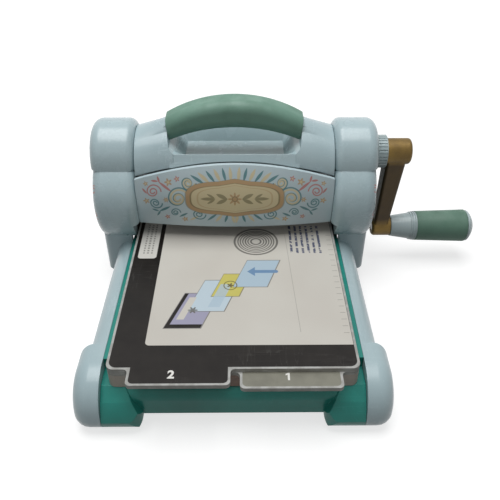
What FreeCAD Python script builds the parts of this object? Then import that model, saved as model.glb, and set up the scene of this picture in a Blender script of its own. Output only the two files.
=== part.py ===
# Manual die cutting machine, hand cranked.
# A base tray carries a flat platform stack, which a crank, a gear pair and two steel rollers squeeze and feed
# through a bridge of two hollow towers, an arched top housing and two bowed panels.
# Frame: X to the right, Y to the back, Z up. The origin lies on the bench, midway between the towers,
# straight below the roller axes. All sizes are in millimetres.
import FreeCAD, Part
import math
import os
import Sketcher
from types import SimpleNamespace

Vector = FreeCAD.Vector

# Driving sizes. Every one is a cell of the spreadsheet and is written only here.
SIZES = {
    # Platform stack: a board with two hinged leaves on top
    "platform_width": 155.6,
    "platform_front": 173.0,
    "platform_back": 159.0,
    "platform_corner": 5.0,
    "board_thickness": 9.9,
    "leaf_1_thickness": 2.8,
    "leaf_2_thickness": 3.0,
    "leaf_gap": 0.1,
    "tab_width": 62.4,
    "tab_reach": 12.5,
    "tab_corner": 3.0,
    "tab_1_centre": 35.3,
    "tab_2_centre": -32.8,
    "knuckle_radius": 4.6,
    "knuckle_pitch": 22.0,
    "knuckle_gap": 0.6,
    "hinge_pin_radius": 1.6,
    "hinge_clearance": 0.3,
    # Base tray
    "deck_top": 31.0,
    "slide_clearance": 0.1,
    "tray_bottom": 10.0,
    "tray_nose": 177.0,
    "nose_radius": 9.0,
    "channel_clearance": 1.2,
    "channel_wall": 3.7,
    "channel_height": 8.0,
    "channel_reach": 157.0,
    "cell_width": 26.0,
    "cell_length": 30.0,
    "rib_thickness": 3.0,
    "deck_skin": 3.0,
    "bay_half_length": 25.0,
    "roller_slot_clearance": 1.5,
    # Feet
    "foot_bottom": 1.5,
    "foot_front": 186.5,
    "foot_length": 56.5,
    "foot_height": 39.0,
    "foot_inner": 57.0,
    "foot_outer": 101.0,
    "foot_toe_radius": 11.0,
    "foot_cheek": 180.0,
    "foot_cheek_height": 24.0,
    "foot_cheek_radius": 40.0,
    "foot_brow": 172.0,
    "foot_top_radius": 26.0,
    "foot_slope": 14.0,
    "foot_edge_radius": 10.5,
    "foot_sole_radius": 11.0,
    "foot_corner_radius": 9.0,
    "foot_flank": 11.0,
    "foot_flank_height": 14.0,
    "foot_taper": 20.0,
    "pad_radius": 7.0,
    "pad_thickness": 3.0,
    "foot_screw_radius": 2.0,
    "foot_screw_head": 4.0,
    "foot_screw_length": 14.0,
    "foot_head_room": 2.0,
    "foot_head_height": 1.4,
    # Side rails
    "rail_gap": 0.2,
    "rail_outer": 96.0,
    "rail_shoulder": 25.0,
    "rail_crown": 39.0,
    "rail_crown_width": 2.0,
    "rail_skin": 3.0,
    "block_outer": 106.5,
    "block_half_length": 30.0,
    "block_edge_radius": 7.0,
    # Towers
    "tower_inner": 75.0,
    "tower_mouth_inner": 79.0,
    "crease_height": 44.0,
    "mouth_height": 59.0,
    "seam_height": 101.0,
    "tower_height": 129.0,
    "lobe_outer": 107.5,
    "crown_outer": 108.5,
    "crease_half_length": 30.0,
    "seam_half_length": 28.5,
    "crown_half_length": 28.4,
    "lobe_radius": 38.0,
    "tower_edge_radius": 8.0,
    "tower_inner_radius": 7.0,
    "crown_inner_radius": 6.5,
    "opening_lip": 2.0,
    "opening_gap": 0.5,
    "tower_skin": 3.0,
    # Arched top housing
    "housing_gap": 0.2,
    "housing_half_depth": 28.0,
    "seam_side": 97.0,
    "seam_centre": 108.0,
    "lip_height": 113.0,
    "trough_height": 104.0,
    "trough_half_top": 23.5,
    "trough_half_floor": 16.0,
    "trough_corner": 9.0,
    "lip_slope_height": 104.0,
    "shoulder_height": 123.4,
    "shoulder_break": 14.0,
    "arm_side_height": 126.5,
    "arm_side_half": 10.5,
    "arm_side_radius": 33.0,
    "arm_crest_radius": 11.5,
    "arch_half_depth": 12.3,
    "arch_crest": 147.7,
    "arch_end_top": 133.6,
    "arch_under_crest": 126.6,
    "arch_under_end": 116.5,
    "arch_edge_radius": 7.5,
    "grip_half_length": 51.5,
    "grip_under_half": 48.7,
    "trough_half_length": 45.5,
    "grip_gap": 0.2,
    "grip_skin": 3.6,
    "grip_clearance": 0.1,
    "core_root": 4.0,
    "core_under_end": 118.4,
    "core_top_end": 126.3,
    # Front and rear panels
    "panel_skin": 3.0,
    "panel_bottom": 57.5,
    "panel_side_depth": 31.0,
    "panel_bow": 6.5,
    "panel_top_depth": 27.5,
    "panel_top_margin": 4.0,
    "panel_radius": 75.0,
    # Rollers, gears and frame plates
    "roller_half_length": 78.2,
    "upper_roller_radius": 15.0,
    "lower_roller_radius": 12.5,
    "lower_roller_half_length": 72.0,
    "journal_slot_gap": 0.5,
    "nip_gap": 6.5,
    "lower_gap": 0.3,
    "journal_radius": 6.0,
    "running_clearance": 0.05,
    "bush_wall": 2.5,
    "bush_flange": 1.5,
    "bush_flange_width": 2.0,
    "clip_thickness": 1.2,
    "clip_width": 2.5,
    "plate_thickness": 3.0,
    "plate_inner": 79.4,
    "plate_bottom": 8.0,
    "plate_half_length": 24.0,
    "plate_corner": 8.0,
    "rod_radius": 3.0,
    "upper_rod_spread": 18.0,
    "upper_rod_height": 93.0,
    "lower_rod_spread": 19.5,
    "lower_rod_height": 19.0,
    "nut_radius": 5.5,
    "nut_thickness": 4.0,
    "boss_radius": 4.0,
    "boss_spread": 17.0,
    "boss_height": 108.0,
    "cover_screw_radius": 1.75,
    "cover_screw_head": 3.5,
    "cover_screw_length": 15.0,
    "cover_screw_head_height": 2.2,
    "gear_module": 1.5,
    "gear_teeth": 32,
    "pinion_teeth": 14,
    "gear_width": 8.0,
    "pinion_width": 9.0,
    "gear_start": 88.0,
    "gear_hub_start": 84.3,
    "gear_backlash": 0.3,
    "tooth_height_factor": 0.9,
    "tooth_depth_factor": 1.2,
    "pressure_angle": 20.0,
    "gear_hub_radius": 10.0,
    "gear_hub_end": 98.0,
    "upper_journal_end": 100.5,
    "journal_end": 87.0,
    "clip_start": 84.5,
    "gear_clip_start": 98.2,
    # Crank
    "crank_shaft_radius": 5.0,
    "collar_radius": 12.8,
    "collar_length": 9.0,
    "collar_spigot_radius": 9.0,
    "collar_groove": 0.6,
    "collar_grooves": 30,
    "arm_gap": 0.3,
    "arm_length": 71.0,
    "arm_hub_radius": 10.2,
    "arm_hub_width": 19.5,
    "arm_end_radius": 8.2,
    "arm_end_width": 15.5,
    "arm_end_offset": -2.3,
    "arm_web_inset": 0.8,
    "arm_web_relief": 3.0,
    "arm_edge_radius": 2.5,
    "shaft_head_width": 2.0,
    "crank_screw_radius": 2.5,
    "crank_screw_head": 5.0,
    "crank_screw_head_height": 3.0,
    "crank_screw_length": 12.0,
    "spindle_radius": 4.0,
    "spindle_head_radius": 6.5,
    "spindle_head_height": 3.5,
    "grip_core_radius": 9.0,
    "grip_collar_length": 21.2,
    "grip_collar_small": 8.7,
    "grip_collar_large": 12.0,
    "sleeve_length": 42.5,
    "sleeve_small": 12.4,
    "sleeve_large": 13.6,
    "sleeve_edge": 1.2,
    "cap_length": 7.0,
    "cap_rim": 1.5,
    "cap_radius": 13.0,
    "cap_spigot_length": 1.8,
}

doc = FreeCAD.newDocument("die_cutting_machine")
sheet = doc.addObject("Spreadsheet::Sheet", "Sizes")
for row, (alias, value) in enumerate(SIZES.items(), start=1):
    sheet.set(f"A{row}", alias)
    sheet.set(f"B{row}", str(value))
    sheet.setAlias(f"B{row}", alias)
doc.recompute()


class Size:
    """A size worked out from the sheet: its value, and the expression that binds it to the cells."""

    def __init__(self, value, text):
        self.value = float(value)
        self.text = text

    def __add__(self, other):
        other = as_size(other)
        return Size(self.value + other.value, f"({self.text} + {other.text})")

    def __sub__(self, other):
        other = as_size(other)
        return Size(self.value - other.value, f"({self.text} - {other.text})")

    def __rsub__(self, other):
        return as_size(other) - self

    def __mul__(self, other):
        other = as_size(other)
        return Size(self.value * other.value, f"({self.text} * {other.text})")

    def __truediv__(self, other):
        other = as_size(other)
        return Size(self.value / other.value, f"({self.text} / {other.text})")

    def __neg__(self):
        return Size(-self.value, f"(-{self.text})")

    __radd__ = __add__
    __rmul__ = __mul__


def as_size(number):
    """A plain number as a size, so that sums may mix the two."""
    if isinstance(number, Size):
        return number
    return Size(number, repr(float(number)))


S = SimpleNamespace(**{alias: Size(value, f"Sizes.{alias}") for alias, value in SIZES.items()})
ZERO = as_size(0)
nodes = {}


def bind(target, name, size):
    """Hold a property of an object to a size."""
    target.setExpression(name, as_size(size).text)


def keep(label, shape_object):
    """Name a finished piece, so that it is checked and written as a node."""
    shape_object.Label = label
    nodes[label] = shape_object
    return shape_object


# Sketches. An outline is listed counter-clockwise, as steps that each end in a corner.
def to(across, up):
    """A straight step to a corner."""
    return ("straight", as_size(across), as_size(up), None)


def convex(radius, across, up):
    """An arc to a corner that bulges out of the outline."""
    return ("convex", as_size(across), as_size(up), as_size(radius))


def hollow(radius, across, up):
    """An arc to a corner that bites into the outline."""
    return ("hollow", as_size(across), as_size(up), as_size(radius))


def rectangle(left, right, bottom, top):
    """The outline of a rectangle."""
    return [to(left, bottom), to(right, bottom), to(right, top), to(left, top)]


def symmetric(half, crown=None):
    """A whole outline from its right half, listed from the bottom up; a crown is its top arc's radius."""
    steps = list(half)
    kind = "straight" if crown is None else "convex"
    radius = crown
    for step in reversed(half):
        steps.append((kind, -step[1], step[2], radius))
        kind = step[0]
        radius = step[3]
    return steps


# The way that each plane's sketches face along their own axis, and that axis
PLANES = {"XY": ("z", 1), "XZ": ("y", -1), "YZ": ("x", 1)}


def new_sketch(body, name, plane, level=None):
    """A sketch on one of the body's own planes, moved along the plane's axis to a level."""
    sketch = body.newObject("Sketcher::SketchObject", name)
    role = f"{plane}_Plane"
    base = [feature for feature in body.Origin.OriginFeatures if feature.Role == role]
    sketch.AttachmentSupport = [(base[0], "")]
    sketch.MapMode = "FlatFace"
    if level is not None:
        offset = as_size(level) * PLANES[plane][1]
        sketch.AttachmentOffset = FreeCAD.Placement(Vector(0, 0, offset.value), FreeCAD.Rotation())
        bind(sketch, "AttachmentOffset.Base.z", offset)
    return sketch


def add_outline(sketch, steps):
    """Draw one closed outline, joined at its corners, with each corner and radius held by the sheet."""
    first = sketch.GeometryCount
    ends = []
    for index, (kind, across, up, radius) in enumerate(steps):
        start = Vector(steps[index - 1][1].value, steps[index - 1][2].value, 0)
        end = Vector(across.value, up.value, 0)
        if kind == "straight":
            sketch.addGeometry(Part.LineSegment(start, end))
            ends.append((1, 2))
            continue
        chord = end - start
        left = Vector(-chord.y, chord.x, 0).normalize()
        rise = math.sqrt(max(radius.value**2 - (chord.Length / 2) ** 2, 0))
        side = 1 if kind == "convex" else -1
        centre = (start + end) / 2 + left * rise * side
        first_end, last_end = (start, end) if side > 0 else (end, start)
        angle_0 = math.atan2(first_end.y - centre.y, first_end.x - centre.x)
        angle_1 = math.atan2(last_end.y - centre.y, last_end.x - centre.x)
        circle = Part.Circle(centre, Vector(0, 0, 1), radius.value)
        sketch.addGeometry(Part.ArcOfCircle(circle, angle_0, angle_1))
        ends.append((1, 2) if side > 0 else (2, 1))
    rules = []
    for index, (kind, across, up, radius) in enumerate(steps):
        here = first + index
        following = (index + 1) % len(steps)
        end = ends[index][1]
        rules.append(("Coincident", here, end, first + following, ends[following][0]))
        rules.append(("DistanceX", -1, 1, here, end, across))
        rules.append(("DistanceY", -1, 1, here, end, up))
        if radius is not None:
            rules.append(("Radius", here, radius))
    hold(sketch, rules)


def hold(sketch, rules):
    """Add constraints in one go, and bind each value that is a size."""
    values = [[part.value if isinstance(part, Size) else part for part in rule] for rule in rules]
    numbers = sketch.addConstraint([Sketcher.Constraint(*rule) for rule in values])
    for number, rule in zip(numbers, rules):
        if isinstance(rule[-1], Size):
            sketch.setExpression(f"Constraints[{number}]", rule[-1].text)


def outline(body, name, plane, *loops, level=None):
    """A sketch with one or more closed outlines."""
    sketch = new_sketch(body, name, plane, level)
    for steps in loops:
        add_outline(sketch, steps)
    return sketch


def circles(body, name, plane, radius, centres, level=None):
    """A sketch with a circle of one radius round each centre."""
    sketch = new_sketch(body, name, plane, level)
    radius = as_size(radius)
    rules = []
    for index, (across, up) in enumerate(centres):
        across = as_size(across)
        up = as_size(up)
        middle = Vector(across.value, up.value, 0)
        sketch.addGeometry(Part.Circle(middle, Vector(0, 0, 1), radius.value))
        rules.append(("DistanceX", -1, 1, index, 3, across))
        rules.append(("DistanceY", -1, 1, index, 3, up))
        rules.append(("Radius", index, radius))
    hold(sketch, rules)
    return sketch


# Features. Towards is +1 or -1 along the plane's own axis, and 0 goes both ways.
def new_body(name):
    """An empty body."""
    return doc.addObject("PartDesign::Body", name)


def plane_of(sketch):
    """The name of the plane that a sketch lies on."""
    return sketch.AttachmentSupport[0][0].Role[:2]


def pad(body, name, sketch, length, towards=0):
    """Raise a sketch by a length; both ways means half of it to each side."""
    feature = body.newObject("PartDesign::Pad", name)
    feature.Profile = sketch
    bind(feature, "Length", length)
    if towards == 0:
        feature.SideType = "Symmetric"
    else:
        feature.Reversed = towards * PLANES[plane_of(sketch)][1] < 0
    doc.recompute()
    return feature


def pocket(body, name, sketch, length=None, towards=0):
    """Cut a sketch into the body, right through it where no length is given."""
    before = body.Shape.Volume
    feature = body.newObject("PartDesign::Pocket", name)
    feature.Profile = sketch
    if length is None:
        feature.Type = "ThroughAll"
    else:
        bind(feature, "Length", length)
    if towards == 0:
        feature.SideType = "Symmetric"
    else:
        feature.Reversed = towards * PLANES[plane_of(sketch)][1] > 0
    doc.recompute()
    if not body.Shape.Volume < before:
        raise ValueError(f"{name} cuts nothing")
    return feature


def revolve(body, name, sketch, axis):
    """Turn a sketch once about one of the body's own axes."""
    feature = body.newObject("PartDesign::Revolution", name)
    feature.Profile = sketch
    base = [line for line in body.Origin.OriginFeatures if line.Role == f"{axis}_Axis"]
    feature.ReferenceAxis = (base[0], [""])
    feature.Angle = 360
    doc.recompute()
    return feature


def mirror_feature(body, name, features, plane):
    """Repeat features on the other side of one of the body's own planes."""
    feature = body.newObject("PartDesign::Mirrored", name)
    feature.Originals = features
    base = [side for side in body.Origin.OriginFeatures if side.Role == f"{plane}_Plane"]
    feature.MirrorPlane = (base[0], [""])
    body.Tip = feature
    doc.recompute()
    return feature


def pattern_feature(body, name, feature_to_repeat, axis, length, count):
    """Repeat a feature in a row along one of the body's own axes."""
    feature = body.newObject("PartDesign::LinearPattern", name)
    feature.Originals = [feature_to_repeat]
    base = [line for line in body.Origin.OriginFeatures if line.Role == f"{axis}_Axis"]
    feature.Direction = (base[0], [""])
    bind(feature, "Length", length)
    feature.Occurrences = count
    body.Tip = feature
    doc.recompute()
    return feature


def ring_feature(body, name, feature_to_repeat, axis, count):
    """Repeat a feature in a full ring about one of the body's own axes."""
    feature = body.newObject("PartDesign::PolarPattern", name)
    feature.Originals = [feature_to_repeat]
    base = [line for line in body.Origin.OriginFeatures if line.Role == f"{axis}_Axis"]
    feature.Axis = (base[0], [""])
    feature.Angle = 360
    feature.Occurrences = count
    body.Tip = feature
    doc.recompute()
    return feature


def round_off(body, name, edges, radius):
    """Fillet some edges of the body's last feature."""
    last = body.Tip
    feature = body.newObject("PartDesign::Fillet", name)
    feature.Base = (last, edges)
    bind(feature, "Radius", radius)
    doc.recompute()
    return feature


def bevel(body, name, edges, size):
    """Chamfer some edges of the body's last feature."""
    last = body.Tip
    feature = body.newObject("PartDesign::Chamfer", name)
    feature.Base = (last, edges)
    bind(feature, "Size", size)
    doc.recompute()
    return feature


NEAR = 0.01


def edges_at(body, x=None, y=None, z=None, where=None):
    """Names of the body's edges that lie wholly in the given planes."""
    names = []
    for index, edge in enumerate(body.Shape.Edges, start=1):
        box = edge.BoundBox
        spans = [(x, box.XMin, box.XMax), (y, box.YMin, box.YMax), (z, box.ZMin, box.ZMax)]
        inside = True
        for level, low, high in spans:
            if level is not None:
                wanted = as_size(level).value
                inside = inside and abs(low - wanted) < NEAR and abs(high - wanted) < NEAR
        if inside and (where is None or where(edge)):
            names.append(f"Edge{index}")
    if not names:
        raise ValueError(f"no such edge on {body.Name}")
    return names


# Part primitives
def rod(name, axis, radius, length, x=0, y=0, z=0):
    """A plain cylinder along X, Y or Z from a starting point."""
    solid = doc.addObject("Part::Cylinder", name)
    turns = {"X": (Vector(0, 1, 0), 90), "Y": (Vector(1, 0, 0), -90), "Z": (Vector(0, 0, 1), 0)}
    solid.Placement = FreeCAD.Placement(Vector(0, 0, 0), FreeCAD.Rotation(*turns[axis]))
    bind(solid, "Radius", radius)
    bind(solid, "Height", length)
    place(solid, x, y, z)
    return solid


def place(target, x=0, y=0, z=0):
    """Bind where an object stands."""
    bind(target, "Placement.Base.x", x)
    bind(target, "Placement.Base.y", y)
    bind(target, "Placement.Base.z", z)


def cut(name, base, tool):
    """The base without the tool."""
    result = doc.addObject("Part::Cut", name)
    result.Base = base
    result.Tool = tool
    return result


def tube(name, axis, outer, inner, length, x=0, y=0, z=0):
    """A ring or bush: a cylinder with a bore."""
    shell = rod(f"{name}_outside", axis, outer, length, x, y, z)
    bore = rod(f"{name}_bore", axis, inner, length, x, y, z)
    return cut(name, shell, bore)


def joined(name, solids):
    """Solids fused into one piece."""
    result = doc.addObject("Part::MultiFuse", name)
    result.Shapes = solids
    return result


def group(name, pieces):
    """Like pieces that share a node."""
    result = doc.addObject("Part::Compound", name)
    result.Links = pieces
    return result


def mirrored(name, source, normal):
    """The other hand of a piece."""
    result = doc.addObject("Part::Mirroring", name)
    result.Source = source
    result.Normal = normal
    return result


def arc_radius(half_chord, rise):
    """The radius of an arc over a chord, from half the chord and the rise in its middle."""
    return (half_chord * half_chord + rise * rise) / (rise * 2)


# Levels and places that several pieces share
board_bottom = S.deck_top + S.slide_clearance
board_top = board_bottom + S.board_thickness
leaf_1_bottom = board_top + S.leaf_gap
leaf_1_top = leaf_1_bottom + S.leaf_1_thickness
leaf_2_bottom = leaf_1_top + S.leaf_gap
platform_top = leaf_2_bottom + S.leaf_2_thickness
platform_half = S.platform_width / 2
leaf_back = S.platform_back + S.hinge_clearance
pin_y = leaf_back + S.knuckle_radius
pin_z = board_bottom + S.knuckle_radius
channel_inner = platform_half + S.channel_clearance
channel_outer = channel_inner + S.channel_wall
rail_inner = channel_outer + S.rail_gap
plate_outer = S.plate_inner + S.plate_thickness
upper_z = platform_top + S.nip_gap + S.upper_roller_radius
lower_z = board_bottom - S.lower_gap - S.lower_roller_radius
crank_z = upper_z + (S.gear_teeth + S.pinion_teeth) * S.gear_module / 2
grip_z = crank_z - S.arm_length


# Platform stack: a thick board and two thin leaves, which a pin joins at the back like the pages of a book
def sheet_outline(back, tab_centre=None):
    """A sheet with rounded front corners and, where one is asked for, a finger tab on its front edge."""
    front = -S.platform_front
    corner = S.platform_corner
    steps = [to(-platform_half, back), to(-platform_half, front + corner)]
    steps.append(convex(corner, -platform_half + corner, front))
    if tab_centre is not None:
        left = tab_centre - S.tab_width / 2
        right = tab_centre + S.tab_width / 2
        tip = front - S.tab_reach
        small = S.tab_corner
        steps += [to(left - small, front), hollow(small, left, front - small)]
        steps += [to(left, tip + small), convex(small, left + small, tip)]
        steps += [to(right - small, tip), convex(small, right, tip + small)]
        steps += [to(right, front - small), hollow(small, right + small, front)]
    steps += [to(platform_half - corner, front), convex(corner, platform_half, front + corner)]
    steps.append(to(platform_half, back))
    return steps


def add_knuckles(body, steps, stations):
    """Hinge knuckles of one outline at some stations of the pin, counted in knuckle pitches."""
    length = S.knuckle_pitch - S.knuckle_gap
    for index, station in enumerate(stations):
        start = S.knuckle_pitch * station - length / 2
        sketch = outline(body, f"{body.Name}_knuckle_{index}", "YZ", steps, level=start)
        pad(body, f"{body.Name}_knuckle_pad_{index}", sketch, length, towards=1)
    hole = circles(body, f"{body.Name}_pin_circle", "YZ", S.hinge_pin_radius + S.running_clearance,
                   [(pin_y, pin_z)])
    pocket(body, f"{body.Name}_pin_hole", hole)


def make_board():
    """The board that rides on the deck."""
    body = new_body("platform_board")
    sketch = outline(body, "board_outline", "XY", sheet_outline(S.platform_back), level=board_bottom)
    pad(body, "board_pad", sketch, S.board_thickness, towards=1)
    knuckle = [
        to(S.platform_back - S.knuckle_radius, board_bottom),
        to(pin_y, board_bottom),
        convex(S.knuckle_radius, pin_y + S.knuckle_radius, pin_z),
        convex(S.knuckle_radius, pin_y, pin_z + S.knuckle_radius),
        to(S.platform_back - S.knuckle_radius, pin_z + S.knuckle_radius),
    ]
    add_knuckles(body, knuckle, (-3, 0, 3))
    return keep("platform_board", body)


def make_leaf(label, bottom, thickness, tab_centre, stations):
    """One hinged leaf with its numbered finger tab."""
    body = new_body(label)
    sketch = outline(body, f"{label}_outline", "XY", sheet_outline(leaf_back, tab_centre), level=bottom)
    pad(body, f"{label}_pad", sketch, thickness, towards=1)
    knuckle = [
        to(leaf_back, pin_z),
        convex(S.knuckle_radius, pin_y, pin_z - S.knuckle_radius),
        convex(S.knuckle_radius, pin_y + S.knuckle_radius, pin_z),
        to(pin_y + S.knuckle_radius, bottom + thickness),
        to(leaf_back, bottom + thickness),
    ]
    add_knuckles(body, knuckle, stations)
    return keep(label, body)


def make_hinge_pin():
    """The steel pin through all the knuckles."""
    length = S.knuckle_pitch * 7 - S.knuckle_gap
    pin = rod("hinge_pin", "X", S.hinge_pin_radius, length, -length / 2, pin_y, pin_z)
    return keep("hinge_pin", pin)


make_board()
make_leaf("leaf_1", leaf_1_bottom, S.leaf_1_thickness, S.tab_1_centre, (-2, 2))
make_leaf("leaf_2", leaf_2_bottom, S.leaf_2_thickness, S.tab_2_centre, (-1, 1))
make_hinge_pin()


# Feet: one side profile for the tray's inner halves and the rails' outer halves
def turned(steps):
    """An outline turned end for end, still listed counter-clockwise."""
    result = []
    for index in reversed(range(len(steps))):
        kind, _, _, radius = steps[index]
        result.append((kind, -steps[index - 1][1], steps[index - 1][2], radius))
    return result


def opposite(steps):
    """An outline turned half a turn round the origin."""
    return [(kind, -across, -up, radius) for kind, across, up, radius in steps]


def foot_sole_steps():
    """The sole of a foot, from the toe to its back end."""
    toe = S.foot_toe_radius
    end = -S.foot_front + S.foot_length
    return [
        convex(toe, -S.foot_front + toe, S.foot_bottom),
        to(end - toe, S.foot_bottom),
        convex(toe, end, S.foot_bottom + toe),
    ]


def inner_foot():
    """The tray's half of a front foot: level with the deck, a short slope, then the steep front."""
    end = -S.foot_front + S.foot_length
    return foot_sole_steps() + [
        to(end, S.deck_top),
        to(-S.foot_brow, S.deck_top),
        to(-S.foot_cheek, S.foot_cheek_height),
        convex(S.foot_cheek_radius, -S.foot_front, S.foot_bottom + S.foot_toe_radius),
    ]


def outer_foot():
    """The rail's half of a front foot, which rises above the deck and is round in front."""
    end = -S.foot_front + S.foot_length
    return foot_sole_steps() + [
        to(end, S.rail_shoulder),
        to(end - S.foot_slope, S.foot_height),
        to(-S.foot_front + S.foot_top_radius, S.foot_height),
        convex(S.foot_top_radius, -S.foot_front, S.foot_height - S.foot_top_radius),
    ]


pad_x = (S.foot_inner + S.foot_sole_radius + channel_outer) / 2
pad_y = S.foot_front - S.foot_length / 2 + S.foot_toe_radius / 2
foot_places = [(pad_x * side, pad_y * end) for side in (-1, 1) for end in (-1, 1)]


# Base tray: the teal moulding that holds the deck, its side walls, the cross noses and the inner feet
def make_base_tray():
    """The tray, ribbed underneath and open in the middle for the lower roller."""
    body = new_body("base_tray")
    nose = S.nose_radius
    deck = symmetric([
        to(S.tray_nose, S.tray_bottom),
        to(S.tray_nose, S.deck_top - nose),
        convex(nose, S.tray_nose - nose, S.deck_top),
    ])
    pad(body, "deck_pad", outline(body, "deck_outline", "YZ", deck), channel_outer * 2)
    wall_top = S.deck_top + S.channel_height
    walls = [
        rectangle(channel_inner, channel_outer, S.tray_bottom, wall_top),
        rectangle(-channel_outer, -channel_inner, S.tray_bottom, wall_top),
    ]
    pad(body, "wall_pad", outline(body, "wall_outline", "XZ", *walls), S.channel_reach * 2)
    feet = [inner_foot(), turned(inner_foot())]
    right = outline(body, "right_feet_outline", "YZ", *feet, level=S.foot_inner)
    pad(body, "right_feet_pad", right, channel_outer - S.foot_inner, towards=1)
    left = outline(body, "left_feet_outline", "YZ", *feet, level=-channel_outer)
    pad(body, "left_feet_pad", left, channel_outer - S.foot_inner, towards=1)
    sole_radius = S.foot_sole_radius
    sole_corner = [
        to(S.foot_inner - 1, S.foot_bottom - 1),
        to(S.foot_inner + sole_radius, S.foot_bottom - 1),
        to(S.foot_inner + sole_radius, S.foot_bottom),
        hollow(sole_radius, S.foot_inner, S.foot_bottom + sole_radius),
        to(S.foot_inner - 1, S.foot_bottom + sole_radius),
    ]
    soles = outline(body, "sole_corner_outline", "XZ", sole_corner, turned(sole_corner))
    pocket(body, "sole_corners", soles, S.foot_front * 2)
    corner_radius = S.foot_corner_radius
    corner = [
        to(S.foot_inner - 1, -S.foot_front - 1),
        to(S.foot_inner + corner_radius, -S.foot_front - 1),
        to(S.foot_inner + corner_radius, -S.foot_front),
        hollow(corner_radius, S.foot_inner, -S.foot_front + corner_radius),
        to(S.foot_inner - 1, -S.foot_front + corner_radius),
    ]
    corners = [corner, turned(corner), opposite(corner), opposite(turned(corner))]
    pocket(body, "foot_corners", outline(body, "foot_corner_outline", "XY", *corners))
    flank = [
        to(S.foot_inner - 1, S.foot_flank_height),
        to(S.foot_inner, S.foot_flank_height),
        to(S.foot_inner + S.foot_flank, S.deck_top + 1),
        to(S.foot_inner - 1, S.deck_top + 1),
    ]
    nose_start = S.tray_nose - nose
    for end, level in (("front", -S.foot_front), ("back", nose_start)):
        flanks = outline(body, f"{end}_flank_outline", "XZ", flank, turned(flank), level=level)
        pocket(body, f"{end}_flanks", flanks, S.foot_front - nose_start, towards=1)
    pad(body, "nose_pad", outline(body, "nose_outline", "YZ", deck), channel_outer * 2)

    # Cells under the deck, the open bay in the middle and the slot for the lower roller
    columns = 5
    rows = 4
    pitch_x = S.cell_width + S.rib_thickness
    pitch_y = S.cell_length + S.rib_thickness
    first_left = -(pitch_x * (columns - 1) + S.cell_width) / 2
    cells = []
    for row in range(rows):
        near = S.bay_half_length + S.rib_thickness + pitch_y * row
        cell = rectangle(first_left, first_left + S.cell_width, near, near + S.cell_length)
        cells += [cell, turned_over(cell)]
    height = S.deck_top - S.deck_skin - S.tray_bottom
    under = outline(body, "cell_outline", "XY", *cells, level=S.tray_bottom)
    column = pocket(body, "cell_column", under, height, towards=1)
    pattern_feature(body, "cells", column, "X", pitch_x * (columns - 1), columns)
    bay_half_width = S.lower_roller_half_length + S.lower_gap
    bay = rectangle(-bay_half_width, bay_half_width, -S.bay_half_length, S.bay_half_length)
    pocket(body, "bay", outline(body, "bay_outline", "XY", bay, level=S.tray_bottom), height, towards=1)
    slot_half = S.lower_roller_radius + S.roller_slot_clearance
    slot = rectangle(-bay_half_width, bay_half_width, -slot_half, slot_half)
    pocket(body, "roller_slot", outline(body, "roller_slot_outline", "XY", slot))
    reach = S.plate_half_length + S.lower_gap
    notches = [
        rectangle(S.plate_inner - S.lower_gap, channel_outer + 1, -reach, reach),
        rectangle(-channel_outer - 1, -S.plate_inner + S.lower_gap, -reach, reach),
    ]
    pocket(body, "plate_notches", outline(body, "notch_outline", "XY", *notches))
    journal_half = S.journal_radius + S.journal_slot_gap
    journal_slot = symmetric([
        to(journal_half, S.tray_bottom - 1),
        to(journal_half, lower_z + journal_half),
    ])
    slot_outline = outline(body, "journal_slot_outline", "YZ", journal_slot)
    pocket(body, "journal_slot", slot_outline, S.plate_inner * 2)
    rod_passes = [(S.lower_rod_spread * side, S.lower_rod_height) for side in (-1, 1)]
    rod_holes = circles(body, "rod_pass_circles", "YZ", S.rod_radius + S.lower_gap, rod_passes)
    pocket(body, "rod_passes", rod_holes, S.plate_inner * 2)
    sockets = circles(body, "pad_socket_circles", "XY", S.pad_radius, foot_places, level=S.foot_bottom)
    pocket(body, "pad_sockets", sockets, S.pad_thickness - S.foot_bottom, towards=1)
    holes = circles(body, "foot_screw_circles", "XY", S.foot_screw_radius, foot_places,
                    level=S.foot_bottom)
    pocket(body, "foot_screw_holes", holes, S.foot_screw_length, towards=1)
    return keep("base_tray", body)


def turned_over(steps):
    """A rectangle of the right-hand or back half, moved to the other side of the across axis."""
    low, _, _, high = steps
    left, bottom, right, top = low[1], low[2], steps[1][1], high[2]
    return rectangle(left, right, -top, -bottom)


def make_rubber_feet():
    """Four rubber pads in sockets under the tray, each held by a screw in a countersunk hole."""
    pads = []
    screws = []
    for index, (x, y) in enumerate(foot_places):
        disc = rod(f"pad_disc_{index}", "Z", S.pad_radius, S.pad_thickness, x, y, 0)
        shank_hole = rod(f"pad_hole_{index}", "Z", S.foot_screw_radius, S.pad_thickness, x, y, 0)
        head_hole = rod(f"pad_head_hole_{index}", "Z", S.foot_screw_head, S.foot_head_room, x, y, 0)
        drilled = cut(f"pad_drilled_{index}", disc, shank_hole)
        pads.append(cut(f"pad_{index}", drilled, head_hole))
        shank_start = S.foot_head_room
        shank_length = S.foot_bottom + S.foot_screw_length - shank_start
        shank = rod(f"foot_shank_{index}", "Z", S.foot_screw_radius, shank_length, x, y, shank_start)
        head_start = S.foot_head_room - S.foot_head_height
        head = rod(f"foot_head_{index}", "Z", S.foot_screw_head, S.foot_head_height, x, y, head_start)
        screws.append(joined(f"foot_screw_{index}", [shank, head]))
    keep("rubber_feet", group("rubber_feet", pads))
    keep("foot_screws", group("foot_screws", screws))


make_base_tray()
make_rubber_feet()


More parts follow.
